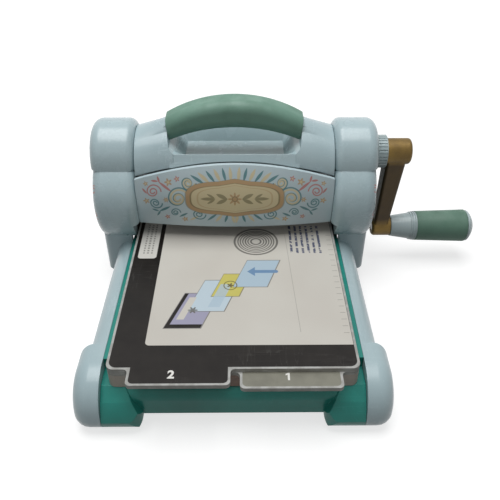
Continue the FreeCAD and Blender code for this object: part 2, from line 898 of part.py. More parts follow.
# Side rails: pale blue mouldings with the outer feet at their ends and the tower's root in the middle
def make_side_rails():
    """The right rail, and the left one as its mirror image."""
    body = new_body("right_side_rail")
    skin = S.rail_skin
    crown_x = rail_inner + S.rail_crown_width
    outer_radius = arc_radius_from_tangent(S.rail_outer - crown_x, S.rail_crown - S.rail_shoulder)
    inner_width = S.rail_outer - skin - rail_inner - skin
    inner_height = S.rail_crown - skin - S.rail_shoulder
    section = [
        to(rail_inner, S.tray_bottom),
        to(rail_inner + skin, S.tray_bottom),
        to(rail_inner + skin, S.rail_crown - skin),
        hollow(arc_radius_from_tangent(inner_width, inner_height), S.rail_outer - skin, S.rail_shoulder),
        to(S.rail_outer - skin, S.tray_bottom),
        to(S.rail_outer, S.tray_bottom),
        to(S.rail_outer, S.rail_shoulder),
        convex(outer_radius, crown_x, S.rail_crown),
        to(rail_inner, S.rail_crown),
    ]
    feet = outline(body, "outer_feet_outline", "YZ", outer_foot(), turned(outer_foot()), level=rail_inner)
    pad(body, "outer_feet_pad", feet, S.foot_outer - rail_inner, towards=1)
    foot_end = -S.foot_front + S.foot_length
    def on_foot_rim(edge):
        box = edge.BoundBox
        above_toe = box.ZMin > (S.foot_bottom + S.foot_toe_radius).value - NEAR
        outside = box.XMin > S.foot_outer.value - NEAR
        return above_toe and outside and box.YMin * box.YMax > 0

    round_off(body, "foot_rims", edges_at(body, where=on_foot_rim), S.foot_edge_radius)
    flare = S.foot_outer - S.rail_outer
    flare_radius = (flare * flare + S.foot_taper * S.foot_taper) / (flare * 2)
    taper = [
        hollow(flare_radius, S.foot_outer, foot_end - S.foot_taper),
        to(S.foot_outer + skin, foot_end - S.foot_taper),
        to(S.foot_outer + skin, foot_end + skin),
        to(S.rail_outer, foot_end + skin),
        to(S.rail_outer, foot_end),
    ]
    tapers = outline(body, "foot_taper_outline", "XY", taper, turned_about_x(taper))
    pocket(body, "foot_tapers", tapers)
    rail_reach = S.foot_front - S.foot_length + S.foot_slope + skin
    pad(body, "rail_pad", outline(body, "rail_section", "XZ", section), rail_reach * 2)

    half = S.block_half_length
    corner = S.block_edge_radius
    block = [
        to(rail_inner, -half),
        to(S.block_outer - corner, -half),
        convex(corner, S.block_outer, -half + corner),
        to(S.block_outer, half - corner),
        convex(corner, S.block_outer - corner, half),
        to(rail_inner, half),
    ]
    bottom = S.tray_bottom - 1
    root = outline(body, "root_outline", "XY", block, level=bottom)
    pad(body, "root_pad", root, S.crease_height - bottom, towards=1)
    room = rectangle(rail_inner - 1, S.block_outer - skin, -half + skin, half - skin)
    room_outline = outline(body, "root_room_outline", "XY", room)
    pocket(body, "root_room", room_outline)
    keep("right_side_rail", body)
    keep("left_side_rail", mirrored("left_side_rail", body, (1, 0, 0)))


def turned_about_x(steps):
    """An outline in the XY plane moved to the other side of the across axis."""
    result = []
    for index in reversed(range(len(steps))):
        kind, _, _, radius = steps[index]
        result.append((kind, steps[index - 1][1], -steps[index - 1][2], radius))
    return result


def arc_radius_from_tangent(width, height):
    """The radius of an arc that leaves a wall upwards and ends this much in and up."""
    return (width * width + height * height) / (width * 2)


make_side_rails()


# Towers: a crowned top over a barrelled lobe, hollow inside and open towards the rollers
def make_tower_form():
    """The right tower without its crank hole; the left one is its mirror image."""
    lobe_body = new_body("tower_lobe_form")
    lobe = symmetric([
        to(S.crease_half_length, S.crease_height),
        convex(S.lobe_radius, S.seam_half_length, S.seam_height),
    ])
    lobe_outline = outline(lobe_body, "lobe_outline", "YZ", lobe, level=S.tower_inner)
    pad(lobe_body, "lobe_pad", lobe_outline, S.lobe_outer - S.tower_inner, towards=1)

    def on_side(edge):
        return edge.BoundBox.ZMax - edge.BoundBox.ZMin > S.tower_edge_radius.value

    outer_arcs = edges_at(lobe_body, x=S.lobe_outer, where=on_side)
    round_off(lobe_body, "lobe_rims", outer_arcs, S.tower_edge_radius)
    inner_arcs = edges_at(lobe_body, x=S.tower_inner, where=on_side)
    round_off(lobe_body, "lobe_inner_rims", inner_arcs, S.tower_inner_radius)

    crown_body = new_body("tower_crown_form")
    crown_half = S.crown_half_length
    crown = [
        to(crown_half, S.seam_height),
        convex(arc_radius(crown_half, S.tower_height - S.seam_height), -crown_half, S.seam_height),
    ]
    crown_outline = outline(crown_body, "crown_outline", "YZ", crown, level=S.tower_inner)
    pad(crown_body, "crown_pad", crown_outline, S.crown_outer - S.tower_inner, towards=1)

    def above_seam(edge):
        return edge.BoundBox.ZMax > S.seam_height.value + NEAR

    outer_rim = edges_at(crown_body, x=S.crown_outer, where=above_seam)
    round_off(crown_body, "crown_rim", outer_rim, S.tower_edge_radius)
    inner_rim = edges_at(crown_body, x=S.tower_inner, where=above_seam)
    round_off(crown_body, "crown_inner_rim", inner_rim, S.crown_inner_radius)

    room_body = new_body("tower_room")
    skin = S.tower_skin
    room_seam = S.seam_half_length - skin
    room = symmetric([
        to(S.crease_half_length - skin, S.crease_height - 1),
        convex(S.lobe_radius + 1, room_seam, S.seam_height),
    ], crown=arc_radius(room_seam, S.tower_height - skin - S.seam_height))
    room_start = S.tower_mouth_inner + S.opening_lip
    room_outline = outline(room_body, "room_outline", "YZ", room, level=room_start)
    pad(room_body, "room_pad", room_outline, S.lobe_outer - skin - room_start, towards=1)

    opening_body = new_body("tower_openings")
    opening_half = S.plate_half_length + S.opening_gap
    opening = rectangle(-opening_half, opening_half, S.crease_height - 1, S.seam_height - 1)
    opening_outline = outline(opening_body, "opening_outline", "YZ", opening, level=S.tower_inner - 1)
    pad(opening_body, "opening_pad", opening_outline, room_start + 2 - S.tower_inner, towards=1)
    plate_room = symmetric([
        to(opening_half, S.crease_height - 1),
        to(opening_half, S.seam_height),
    ], crown=arc_radius(opening_half, opening_half - S.opening_gap))
    plate_room_start = S.plate_inner - S.rail_gap
    plate_room_outline = outline(opening_body, "plate_room_outline", "YZ", plate_room, level=plate_room_start)
    pad(opening_body, "plate_room_pad", plate_room_outline, room_start + 2 - plate_room_start, towards=1)
    mouth_half = S.crease_half_length * 2
    mouth = rectangle(-mouth_half, mouth_half, S.crease_height - 1, S.mouth_height)
    mouth_outline = outline(opening_body, "mouth_outline", "YZ", mouth, level=S.tower_inner - 1)
    pad(opening_body, "mouth_pad", mouth_outline, S.tower_mouth_inner + 1 - S.tower_inner, towards=1)

    boss_start = plate_outer
    boss_length = S.lobe_outer - skin / 2 - boss_start
    bosses = []
    bores = []
    head_radius = S.cover_screw_head + S.opening_gap
    head_room_length = S.plate_inner - S.tower_inner + 1
    for side in (-1, 1):
        spread = S.boss_spread * side
        bosses.append(rod(f"boss_{side + 1}", "X", S.boss_radius, boss_length,
                          boss_start, spread, S.boss_height))
        bores.append(rod(f"boss_bore_{side + 1}", "X", S.cover_screw_radius + S.running_clearance,
                         S.cover_screw_length, boss_start, spread, S.boss_height))
        bores.append(rod(f"screw_head_room_{side + 1}", "X", head_radius, head_room_length,
                         S.tower_inner - 1, spread, S.boss_height))
    shell = joined("tower_shell", [lobe_body, crown_body])
    hollows = joined("tower_hollows", [room_body, opening_body])
    hollowed = cut("tower_hollowed", shell, hollows)
    bossed = joined("tower_bossed", [hollowed, *bosses])
    return cut("tower_form", bossed, joined("boss_bores", bores))


def make_towers():
    """Both covers; only the right one has a hole for the crank's bearing."""
    form = make_tower_form()
    keep("left_tower_cover", mirrored("left_tower_cover", form, (1, 0, 0)))
    hole_radius = S.collar_spigot_radius + S.running_clearance
    hole = rod("crank_hole", "X", hole_radius, S.tower_skin * 4, S.lobe_outer - S.tower_skin * 2, 0, crank_z)
    shaft_head_room = rod("shaft_head_room", "X", S.crank_shaft_radius + S.shaft_head_width + S.opening_gap,
                          S.plate_inner - S.tower_inner + 1, S.tower_inner - 1, 0, crank_z)
    holes = joined("right_tower_holes", [hole, shaft_head_room])
    keep("right_tower_cover", cut("right_tower_cover", form, holes))


make_towers()


# Arched top housing with its carry grip
def arch_steps(under_reach, under_end, under_crest, top_reach, top_end, top_crest):
    """An arch in the XZ plane; each arc is given by its ends and by its height at the middle."""
    return [
        hollow(arc_radius(under_reach, under_crest - under_end), under_reach, under_end),
        to(top_reach, top_end),
        convex(arc_radius(top_reach, top_crest - top_end), -top_reach, top_end),
        to(-under_reach, under_end),
    ]


def rounded_rectangle(half_across, half_up, corner):
    """A rectangle round the origin with rounded corners."""
    return [
        to(half_across - corner, -half_up),
        convex(corner, half_across, -half_up + corner),
        to(half_across, half_up - corner),
        convex(corner, half_across - corner, half_up),
        to(-half_across + corner, half_up),
        convex(corner, -half_across, half_up - corner),
        to(-half_across, -half_up + corner),
        convex(corner, -half_across + corner, -half_up),
    ]


def seam_radius():
    """The radius of the arched seam between the housing and the panels."""
    return arc_radius(housing_half, S.seam_centre - S.seam_side)


housing_half = S.tower_inner - S.housing_gap
core_reach = S.grip_half_length + S.core_root


def height_on_arc(reach, low, crest, across):
    """The height of an arc over a point, from its end's reach and height and its crest."""
    radius = arc_radius(reach, crest - low)
    drop = radius - Size(math.sqrt((radius * radius - across * across).value),
                         f"sqrt({(radius * radius - across * across).text})")
    return crest - drop


shoulder_break_height = height_on_arc(S.housing_half_depth, S.seam_side, S.shoulder_height, S.shoulder_break)


def make_upper_housing():
    """An arched band with a sloping lip, two shoulders, a trough between them and the grip's core."""
    body = new_body("upper_housing")
    depth = S.housing_half_depth
    low = S.seam_side
    band = symmetric([
        to(depth, low),
        to(depth, S.lip_slope_height),
        to(S.trough_half_top, S.lip_height),
    ])
    band_length = (S.trough_half_length + S.panel_skin) * 2
    pad(body, "band_pad", outline(body, "band_outline", "YZ", band), band_length)
    arm_section = symmetric([
        to(depth, low),
        convex(S.arm_side_radius, S.arm_side_half, S.arm_side_height),
    ], crown=S.arm_crest_radius)
    shoulder_radius = arc_radius(depth, S.shoulder_height - low)
    side_section = symmetric([
        to(depth, low),
        convex(shoulder_radius, S.shoulder_break, shoulder_break_height),
    ], crown=shoulder_radius)
    shoulder = body.newObject("PartDesign::AdditiveLoft", "shoulder_loft")
    shoulder.Profile = outline(body, "arm_section", "YZ", arm_section, level=S.trough_half_length)
    shoulder.Sections = [outline(body, "side_section", "YZ", side_section, level=housing_half)]
    shoulder.Ruled = False
    doc.recompute()
    mirror_feature(body, "both_shoulders", [shoulder], "YZ")
    window_top = S.arch_crest + S.lip_height / 10
    lean = (S.grip_half_length - S.grip_under_half) / (S.arch_end_top - S.arch_under_end)
    grip_gap = S.grip_gap
    window = symmetric([
        to(S.trough_half_length, S.lip_height),
        to(S.grip_under_half + grip_gap, S.arch_under_end),
        to(S.grip_under_half + grip_gap + lean * (window_top - S.arch_under_end), window_top),
    ])
    pocket(body, "grip_window", outline(body, "window_outline", "XZ", window))
    below_seam = [
        to(housing_half + 1, low - 1),
        to(housing_half + 1, low),
        to(housing_half, low),
        convex(seam_radius(), -housing_half, low),
        to(-housing_half - 1, low),
        to(-housing_half - 1, low - 1),
    ]
    pocket(body, "arched_seam", outline(body, "below_seam_outline", "XZ", below_seam))

    tub = symmetric([
        to(S.trough_half_floor + S.panel_skin, S.trough_height - S.panel_skin),
        to(S.trough_half_top, S.lip_height),
    ])
    pad(body, "tub_pad", outline(body, "tub_outline", "YZ", tub), band_length)
    rim = rounded_rectangle(S.trough_half_length, S.trough_half_top, S.trough_corner)
    trough_depth = S.lip_height - S.trough_height
    trough_outline = outline(body, "trough_outline", "XY", rim, level=S.lip_height)
    trough = pocket(body, "trough", trough_outline, trough_depth, towards=-1)
    spread = S.trough_half_top - S.trough_half_floor
    lean_angle = Size(-math.degrees(math.atan2(spread.value, trough_depth.value)),
                      f"-atan(({spread.text}) / ({trough_depth.text}))")
    bind(trough, "TaperAngle", lean_angle)
    doc.recompute()
    core = arch_steps(core_reach, S.core_under_end, S.arch_under_crest + S.grip_skin,
                      core_reach, S.core_top_end, S.arch_crest - S.grip_skin)
    core_depth = (S.arch_half_depth - S.grip_skin) * 2
    pad(body, "core_pad", outline(body, "core_outline", "XZ", core), core_depth)

    room_start = core_reach
    room_end = housing_half - S.panel_skin
    room_half = depth - S.panel_skin * 2
    rooms = [
        rectangle(room_start, room_end, -room_half, room_half),
        rectangle(-room_end, -room_start, -room_half, room_half),
    ]
    room_height = S.lip_height - low - S.panel_skin
    under = outline(body, "shoulder_room_outline", "XY", *rooms, level=low)
    pocket(body, "shoulder_rooms", under, room_height, towards=1)
    return keep("upper_housing", body)


def make_handle_grip():
    """The soft grip: a thick arched sleeve over the housing's core."""
    form = new_body("handle_grip_form")
    arch = arch_steps(S.grip_under_half, S.arch_under_end, S.arch_under_crest,
                      S.grip_half_length, S.arch_end_top, S.arch_crest)
    pad(form, "grip_pad", outline(form, "grip_outline", "XZ", arch), S.arch_half_depth * 2)

    def lengthwise(edge):
        box = edge.BoundBox
        return box.XMax - box.XMin > S.grip_half_length.value and box.YMax - box.YMin < NEAR

    round_off(form, "grip_edges", edges_at(form, where=lengthwise), S.arch_edge_radius)
    gap = S.grip_clearance
    hole = new_body("handle_grip_hole")
    core = arch_steps(core_reach, S.core_under_end - gap, S.arch_under_crest + S.grip_skin - gap,
                      core_reach, S.core_top_end + gap, S.arch_crest - S.grip_skin + gap)
    hole_depth = (S.arch_half_depth - S.grip_skin + gap) * 2
    pad(hole, "grip_hole_pad", outline(hole, "grip_hole_outline", "XZ", core), hole_depth)
    keep("handle_grip", cut("handle_grip", form, hole))


make_upper_housing()
make_handle_grip()


# Front and rear panels: bowed shells below the arched seam
def panel_section(depth):
    """The panel's cross section, with its foot this far from the middle."""
    skin = S.panel_skin
    return [
        to(-depth + skin, S.panel_bottom),
        hollow(S.panel_radius - skin, -S.panel_top_depth + skin, panel_top),
        to(-S.panel_top_depth, panel_top),
        convex(S.panel_radius, -depth, S.panel_bottom),
    ]


panel_top = S.seam_centre + S.panel_top_margin


def make_panels():
    """The front panel, bowed forwards in the middle, and the rear one as its mirror image."""
    body = new_body("front_panel")
    left = outline(body, "panel_left", "YZ", panel_section(S.panel_side_depth), level=-housing_half)
    middle = outline(body, "panel_middle", "YZ", panel_section(S.panel_side_depth + S.panel_bow))
    right = outline(body, "panel_right", "YZ", panel_section(S.panel_side_depth), level=housing_half)
    shell = body.newObject("PartDesign::AdditiveLoft", "panel_loft")
    shell.Profile = left
    shell.Sections = [middle, right]
    shell.Ruled = False
    doc.recompute()
    cut_top = panel_top + 2
    reach = housing_half
    low = S.seam_side - S.housing_gap
    above = [
        hollow(seam_radius(), reach, low),
        to(reach + 1, low),
        to(reach + 1, cut_top),
        to(-reach - 1, cut_top),
        to(-reach - 1, low),
        to(-reach, low),
    ]
    pocket(body, "seam_cut", outline(body, "seam_cut_outline", "XZ", above))
    keep("front_panel", body)
    keep("rear_panel", mirrored("rear_panel", body, (0, 1, 0)))


make_panels()


# Rollers, shafts and their bearings. Each is turned about its own X axis and then raised to its height.
def turned_body(name, height, *loops):
    """A body turned about X from half sections in the XZ plane."""
    body = new_body(name)
    revolve(body, f"{name}_turning", outline(body, f"{name}_section", "XZ", *loops), "X")
    bind(body, "Placement.Base.z", height)
    return body


def bored(start, end, outer, inner):
    """The half section of a plain ring."""
    return rectangle(start, end, inner, outer)


def make_rollers():
    """The driven upper roller, the idle lower roller and the clips that hold them endways."""
    journal = S.journal_radius
    rollers = [
        ("upper_roller", S.upper_roller_radius, S.roller_half_length, upper_z, S.upper_journal_end),
        ("lower_roller", S.lower_roller_radius, S.lower_roller_half_length, lower_z, S.journal_end),
    ]
    for label, radius, half, height, right_end in rollers:
        section = [
            to(-S.journal_end, 0),
            to(right_end, 0),
            to(right_end, journal),
            to(half, journal),
            to(half, radius),
            to(-half, radius),
            to(-half, journal),
            to(-S.journal_end, journal),
        ]
        keep(label, turned_body(label, height, section))
    ring = journal + S.clip_width
    width = S.clip_thickness
    left = bored(-S.clip_start - width, -S.clip_start, ring, journal)
    right = bored(S.clip_start, S.clip_start + width, ring, journal)
    gear_side = bored(S.gear_clip_start, S.gear_clip_start + width, ring, journal)
    keep("upper_roller_clips", turned_body("upper_roller_clips", upper_z, left, gear_side))
    keep("lower_roller_clips", turned_body("lower_roller_clips", lower_z, left, right))


def bush_section(start, bore, wall):
    """The half section of a flanged bush in a side plate; the flange bears on the plate's outer face."""
    end = plate_outer + S.bush_flange
    return [
        to(start, bore),
        to(end, bore),
        to(end, bore + wall + S.bush_flange_width),
        to(plate_outer, bore + wall + S.bush_flange_width),
        to(plate_outer, bore + wall),
        to(start, bore + wall),
    ]


def make_bushes():
    """Four bushes for the rollers and one for the crank's shaft."""
    bore = S.journal_radius + S.running_clearance
    section = bush_section(S.plate_inner, bore, S.bush_wall)
    bushes = []
    for name, height in (("upper_bush", upper_z), ("lower_bush", lower_z)):
        right = turned_body(f"{name}_right", height, section)
        bushes.append(right)
        bushes.append(mirrored(f"{name}_left", right, (1, 0, 0)))
    keep("roller_bushes", group("roller_bushes", bushes))
    crank_bore = S.crank_shaft_radius + S.running_clearance
    crank_section = bush_section(S.plate_inner, crank_bore, S.bush_wall)
    keep("crank_bush", turned_body("crank_bush", crank_z, crank_section))


# Frame: two side plates joined by four rods with a nut at each end
rod_places = [
    (S.upper_rod_spread * side, S.upper_rod_height) for side in (-1, 1)
] + [
    (S.lower_rod_spread * side, S.lower_rod_height) for side in (-1, 1)
]
screw_places = [(S.boss_spread * side, S.boss_height) for side in (-1, 1)]


def make_frame():
    """The side plates, the tie rods and their nuts, and the screws that hold the tower covers."""
    plate = new_body("side_plate_form")
    corner = S.plate_corner
    half = S.plate_half_length
    plate_sides = symmetric([
        to(half - corner, S.plate_bottom),
        convex(corner, half, S.plate_bottom + corner),
        to(half, S.seam_height),
    ], crown=arc_radius(half, half - S.opening_gap))
    plate_outline = outline(plate, "plate_outline", "YZ", plate_sides, level=S.plate_inner)
    pad(plate, "plate_pad", plate_outline, S.plate_thickness, towards=1)
    bush_radius = S.journal_radius + S.running_clearance + S.bush_wall
    bush_centres = [(0, upper_z), (0, lower_z)]
    bush_holes = circles(plate, "bush_circles", "YZ", bush_radius, bush_centres)
    pocket(plate, "bush_holes", bush_holes)
    pocket(plate, "rod_holes", circles(plate, "rod_circles", "YZ", S.rod_radius, rod_places))
    screw_hole = S.cover_screw_radius + S.running_clearance
    pocket(plate, "screw_holes", circles(plate, "screw_circles", "YZ", screw_hole, screw_places))
    keep("left_side_plate", mirrored("left_side_plate", plate, (1, 0, 0)))
    crank_hole = S.crank_shaft_radius + S.running_clearance + S.bush_wall
    hole = rod("crank_bush_hole", "X", crank_hole, S.plate_thickness, S.plate_inner, 0, crank_z)
    keep("right_side_plate", cut("right_side_plate", plate, hole))

    rods = []
    nuts = []
    rod_end = plate_outer + S.nut_thickness + 0.4
    for index, (y, z) in enumerate(rod_places):
        rods.append(rod(f"tie_rod_{index}", "X", S.rod_radius, rod_end * 2, -rod_end, y, z))
        for side, start in ((-1, -plate_outer - S.nut_thickness), (1, plate_outer)):
            nuts.append(nut(f"nut_{index}_{side + 1}", start, y, z))
    keep("tie_rods", group("tie_rods", rods))
    keep("tie_rod_nuts", group("tie_rod_nuts", nuts))

    screws = []
    for index, (y, z) in enumerate(screw_places):
        head_start = S.plate_inner - S.cover_screw_head_height
        head = rod(f"cover_screw_head_{index}", "X", S.cover_screw_head, S.cover_screw_head_height,
                   head_start, y, z)
        shank_length = S.plate_thickness + S.cover_screw_length - 1
        shank = rod(f"cover_screw_shank_{index}", "X", S.cover_screw_radius, shank_length,
                    S.plate_inner, y, z)
        right = joined(f"cover_screw_{index}", [head, shank])
        screws += [right, mirrored(f"cover_screw_left_{index}", right, (1, 0, 0))]
    keep("cover_screws", group("cover_screws", screws))


def nut(name, start, y, z):
    """A hexagon nut along X with a plain bore."""
    hexagon = doc.addObject("Part::Prism", f"{name}_hexagon")
    hexagon.Polygon = 6
    bind(hexagon, "Circumradius", S.nut_radius)
    bind(hexagon, "Height", S.nut_thickness)
    hexagon.Placement = FreeCAD.Placement(Vector(0, 0, 0), FreeCAD.Rotation(Vector(0, 1, 0), 90))
    place(hexagon, start, y, z)
    return cut(name, hexagon, rod(f"{name}_bore", "X", S.rod_radius, S.nut_thickness, start, y, z))


make_rollers()
make_bushes()
make_frame()


# Gear pair: involute teeth drawn in the YZ plane, a gap of the gear facing a tooth of the pinion
def involute(angle):
    """The involute function of a pressure angle."""
    return math.tan(angle) - angle


def flank(teeth, side):
    """Points along one side of a tooth that points up, from root to tip, as radius and angle."""
    module = S.gear_module.value
    pressure = math.radians(S.pressure_angle.value)
    pitch = module * teeth / 2
    base = pitch * math.cos(pressure)
    tip = pitch + module * S.tooth_height_factor.value
    root = pitch - module * S.tooth_depth_factor.value
    half_angle = math.pi / (2 * teeth) - S.gear_backlash.value / (4 * pitch) + involute(pressure)
    start = max(base, root)
    points = [(root, half_angle)] if root < base else []
    steps = 5
    for index in range(steps + 1):
        radius = start + (tip - start) * index / steps
        points.append((radius, half_angle - involute(math.acos(base / radius))))
    return [(radius, angle * side) for radius, angle in points]


def gear_wire(teeth, first_angle):
    """The closed outline of a gear in the YZ plane, with one tooth at the first angle."""
    def corner(radius, angle):
        return Vector(0, radius * math.cos(angle), radius * math.sin(angle))

    sides = []
    for index in range(teeth):
        middle = first_angle + 2 * math.pi * index / teeth
        sides.append([corner(radius, middle + angle) for radius, angle in flank(teeth, -1)])
        sides.append([corner(radius, middle + angle) for radius, angle in reversed(flank(teeth, 1))])
    edges = []
    for index, points in enumerate(sides):
        edges.append(Part.makeLine(sides[index - 1][-1], points[0]))
        edges += [Part.makeLine(start, end) for start, end in zip(points, points[1:])]
    return Part.Wire(edges)


def make_gear(label, teeth, first_angle, start, width, height, hub, bore):
    """A toothed wheel with an optional hub, bored for its shaft."""
    profile = doc.addObject("Part::Feature", f"{label}_profile")
    profile.Shape = gear_wire(teeth, first_angle)
    rim = doc.addObject("Part::Extrusion", f"{label}_rim")
    rim.Base = profile
    rim.DirMode = "Custom"
    rim.Dir = Vector(1, 0, 0)
    rim.Solid = True
    bind(rim, "LengthFwd", width)
    place(rim, start, 0, height)
    solids = [rim]
    low = start
    high = start + width
    if hub is not None:
        low, high = hub
        solids.append(rod(f"{label}_hub", "X", S.gear_hub_radius, high - low, low, 0, height))
    blank = joined(f"{label}_blank", solids) if hub is not None else rim
    hole = rod(f"{label}_bore", "X", bore, high - low, low, 0, height)
    return keep(label, cut(label, blank, hole))


def make_gears():
    """The large gear on the upper roller and the pinion on the crank's shaft."""
    gear_teeth = int(S.gear_teeth.value)
    pinion_teeth = int(S.pinion_teeth.value)
    top = math.pi / 2
    hub = (S.gear_hub_start, S.gear_hub_end)
    half_pitch = math.pi / gear_teeth
    make_gear("roller_gear", gear_teeth, top + half_pitch, S.gear_start, S.gear_width,
              upper_z, hub, S.journal_radius)
    pinion_start = S.gear_start - (S.pinion_width - S.gear_width) / 2
    make_gear("drive_pinion", pinion_teeth, -top, pinion_start, S.pinion_width,
              crank_z, None, S.crank_shaft_radius)


make_gears()


# Crank: shaft, bearing collar, arm and the turning grip, each drawn round its own axis and then raised
collar_end = S.crown_outer + S.collar_length
arm_start = collar_end + S.arm_gap
hub_end = arm_start + S.arm_hub_width
shaft_end = hub_end - S.crank_screw_head_height
barrel_start = arm_start + S.arm_end_offset
barrel_end = barrel_start + S.arm_end_width
grip_start = barrel_end + S.arm_gap
sleeve_start = grip_start + S.grip_collar_length
sleeve_end = sleeve_start + S.sleeve_length
grip_end = sleeve_end + S.cap_length
spigot_start = sleeve_end - S.cap_spigot_length
spindle_head_end = spigot_start - S.arm_gap
spindle_head_start = spindle_head_end - S.spindle_head_height
head_room_start = spindle_head_start - S.arm_gap
head_room_radius = S.spindle_head_radius + S.arm_gap


def make_crank_shaft():
    """The shaft with its inner head, the screw that holds the arm on it, and the ribbed bearing collar."""
    shaft = S.crank_shaft_radius
    head = shaft + S.bush_flange_width
    head_end = S.plate_inner - S.housing_gap
    thread_start = shaft_end - S.crank_screw_length
    section = [
        to(head_end - S.shaft_head_width, 0),
        to(thread_start, 0),
        to(thread_start, S.crank_screw_radius),
        to(shaft_end, S.crank_screw_radius),
        to(shaft_end, shaft),
        to(head_end, shaft),
        to(head_end, head),
        to(head_end - S.shaft_head_width, head),
    ]
    keep("crank_shaft", turned_body("crank_shaft", crank_z, section))
    screw_section = [
        to(thread_start + S.arm_gap, 0),
        to(hub_end - S.arm_gap, 0),
        to(hub_end - S.arm_gap, S.crank_screw_head),
        to(shaft_end, S.crank_screw_head),
        to(shaft_end, S.crank_screw_radius),
        to(thread_start + S.arm_gap, S.crank_screw_radius),
    ]
    keep("crank_screw", turned_body("crank_screw", crank_z, screw_section))

    bore = shaft + S.running_clearance
    spigot_start_x = S.lobe_outer - S.tower_skin
    collar_section = [
        to(spigot_start_x, bore),
        to(collar_end, bore),
        to(collar_end, S.collar_radius),
        to(S.crown_outer, S.collar_radius),
        to(S.crown_outer, S.collar_spigot_radius),
        to(spigot_start_x, S.collar_spigot_radius),
    ]
    collar = turned_body("crank_collar", crank_z, collar_section)
    groove = rectangle(-S.collar_groove / 2, S.collar_groove / 2,
                       S.collar_radius - S.collar_groove, S.collar_radius + 1)
    groove_outline = outline(collar, "groove_outline", "YZ", groove, level=S.crown_outer + S.collar_groove)
    groove_cut = pocket(collar, "groove", groove_outline, S.collar_length - S.collar_groove * 2, towards=1)
    ring_feature(collar, "grooves", groove_cut, "X", int(S.collar_grooves.value))
    keep("crank_collar", collar)


def make_crank_arm():
    """The arm: a hub and an end barrel joined by a tapered web."""
    edge = S.arm_edge_radius
    hub_section = [
        to(arm_start, 0),
        to(hub_end, 0),
        to(hub_end, S.arm_hub_radius - edge),
        convex(edge, hub_end - edge, S.arm_hub_radius),
        to(arm_start, S.arm_hub_radius),
    ]
    hub = turned_body("arm_hub", crank_z, hub_section)
    barrel_section = [
        to(barrel_start, 0),
        to(barrel_end, 0),
        to(barrel_end, S.arm_end_radius),
        to(barrel_start + edge, S.arm_end_radius),
        convex(edge, barrel_start, S.arm_end_radius - edge),
    ]
    barrel = turned_body("arm_barrel", grip_z, barrel_section)

    web = new_body("arm_web")
    inset = S.arm_web_inset
    top_half = S.arm_hub_radius - S.arm_web_inset * 2
    end_half = S.arm_end_radius - S.arm_web_inset * 2
    top = rectangle(arm_start + inset, hub_end - S.arm_web_relief, -top_half, top_half)
    end = rectangle(barrel_start + inset, barrel_end - S.arm_web_relief, -end_half, end_half)
    bar = web.newObject("PartDesign::AdditiveLoft", "web_loft")
    bar.Profile = outline(web, "web_top", "XY", top, level=crank_z)
    bar.Sections = [outline(web, "web_end", "XY", end, level=grip_z)]
    bar.Ruled = True
    doc.recompute()

    def lengthwise(side):
        return side.BoundBox.ZMax - side.BoundBox.ZMin > S.arm_length.value / 2

    round_off(web, "web_edges", edges_at(web, where=lengthwise), edge)
    arm = joined("crank_arm_blank", [hub, barrel, web])
    shaft_hole = rod("arm_shaft_hole", "X", S.crank_shaft_radius, S.arm_hub_width, arm_start, 0, crank_z)
    counterbore = rod("arm_counterbore", "X", S.crank_screw_head + S.arm_gap, S.crank_screw_head_height,
                      shaft_end, 0, crank_z)
    spindle_hole = rod("arm_spindle_hole", "X", S.spindle_radius, S.arm_end_width, barrel_start, 0, grip_z)
    holes = joined("crank_arm_holes", [shaft_hole, counterbore, spindle_hole])
    keep("crank_arm", cut("crank_arm", arm, holes))


def make_crank_grip():
    """The spindle in the arm and the grip that turns on it: a core with a collar, a soft sleeve and a cap."""
    spindle_section = [
        to(barrel_start + S.arm_gap, 0),
        to(spindle_head_end, 0),
        to(spindle_head_end, S.spindle_head_radius),
        to(spindle_head_start, S.spindle_head_radius),
        to(spindle_head_start, S.spindle_radius),
        to(barrel_start + S.arm_gap, S.spindle_radius),
    ]
    keep("grip_spindle", turned_body("grip_spindle", grip_z, spindle_section))

    bore = S.spindle_radius + S.running_clearance
    rib = S.collar_groove
    rib_pitch = rib * 3
    slope = (S.grip_collar_large - S.grip_collar_small) / S.grip_collar_length
    core_section = [
        to(grip_start, bore),
        to(head_room_start, bore),
        to(head_room_start, head_room_radius),
        to(sleeve_end, head_room_radius),
        to(sleeve_end, S.grip_core_radius),
        to(sleeve_start, S.grip_core_radius),
        to(sleeve_start, S.grip_collar_large),
    ]
    for index in range(3):
        right = sleeve_start - rib_pitch * (index + 0.5)
        left = right - rib
        right_radius = S.grip_collar_small + slope * (right - grip_start)
        left_radius = S.grip_collar_small + slope * (left - grip_start)
        core_section += [
            to(right, right_radius),
            to(right, right_radius + rib),
            to(left, left_radius + rib),
            to(left, left_radius),
        ]
    core_section.append(to(grip_start, S.grip_collar_small))
    keep("grip_core", turned_body("grip_core", grip_z, core_section))

    edge = S.sleeve_edge
    sleeve_section = [
        to(sleeve_start, S.grip_core_radius),
        to(sleeve_end, S.grip_core_radius),
        to(sleeve_end, S.sleeve_large - edge),
        convex(edge, sleeve_end - edge, S.sleeve_large),
        to(sleeve_start, S.sleeve_small),
    ]
    keep("grip_sleeve", turned_body("grip_sleeve", grip_z, sleeve_section))

    dome_start = sleeve_end + S.cap_rim
    cap_section = [
        to(spigot_start, 0),
        to(grip_end, 0),
        convex(arc_radius(S.cap_radius, grip_end - dome_start), dome_start, S.cap_radius),
        to(sleeve_end, S.cap_radius),
        to(sleeve_end, head_room_radius),
        to(spigot_start, head_room_radius),
    ]
    keep("grip_end_cap", turned_body("grip_end_cap", grip_z, cap_section))


make_crank_shaft()
make_crank_arm()
make_crank_grip()


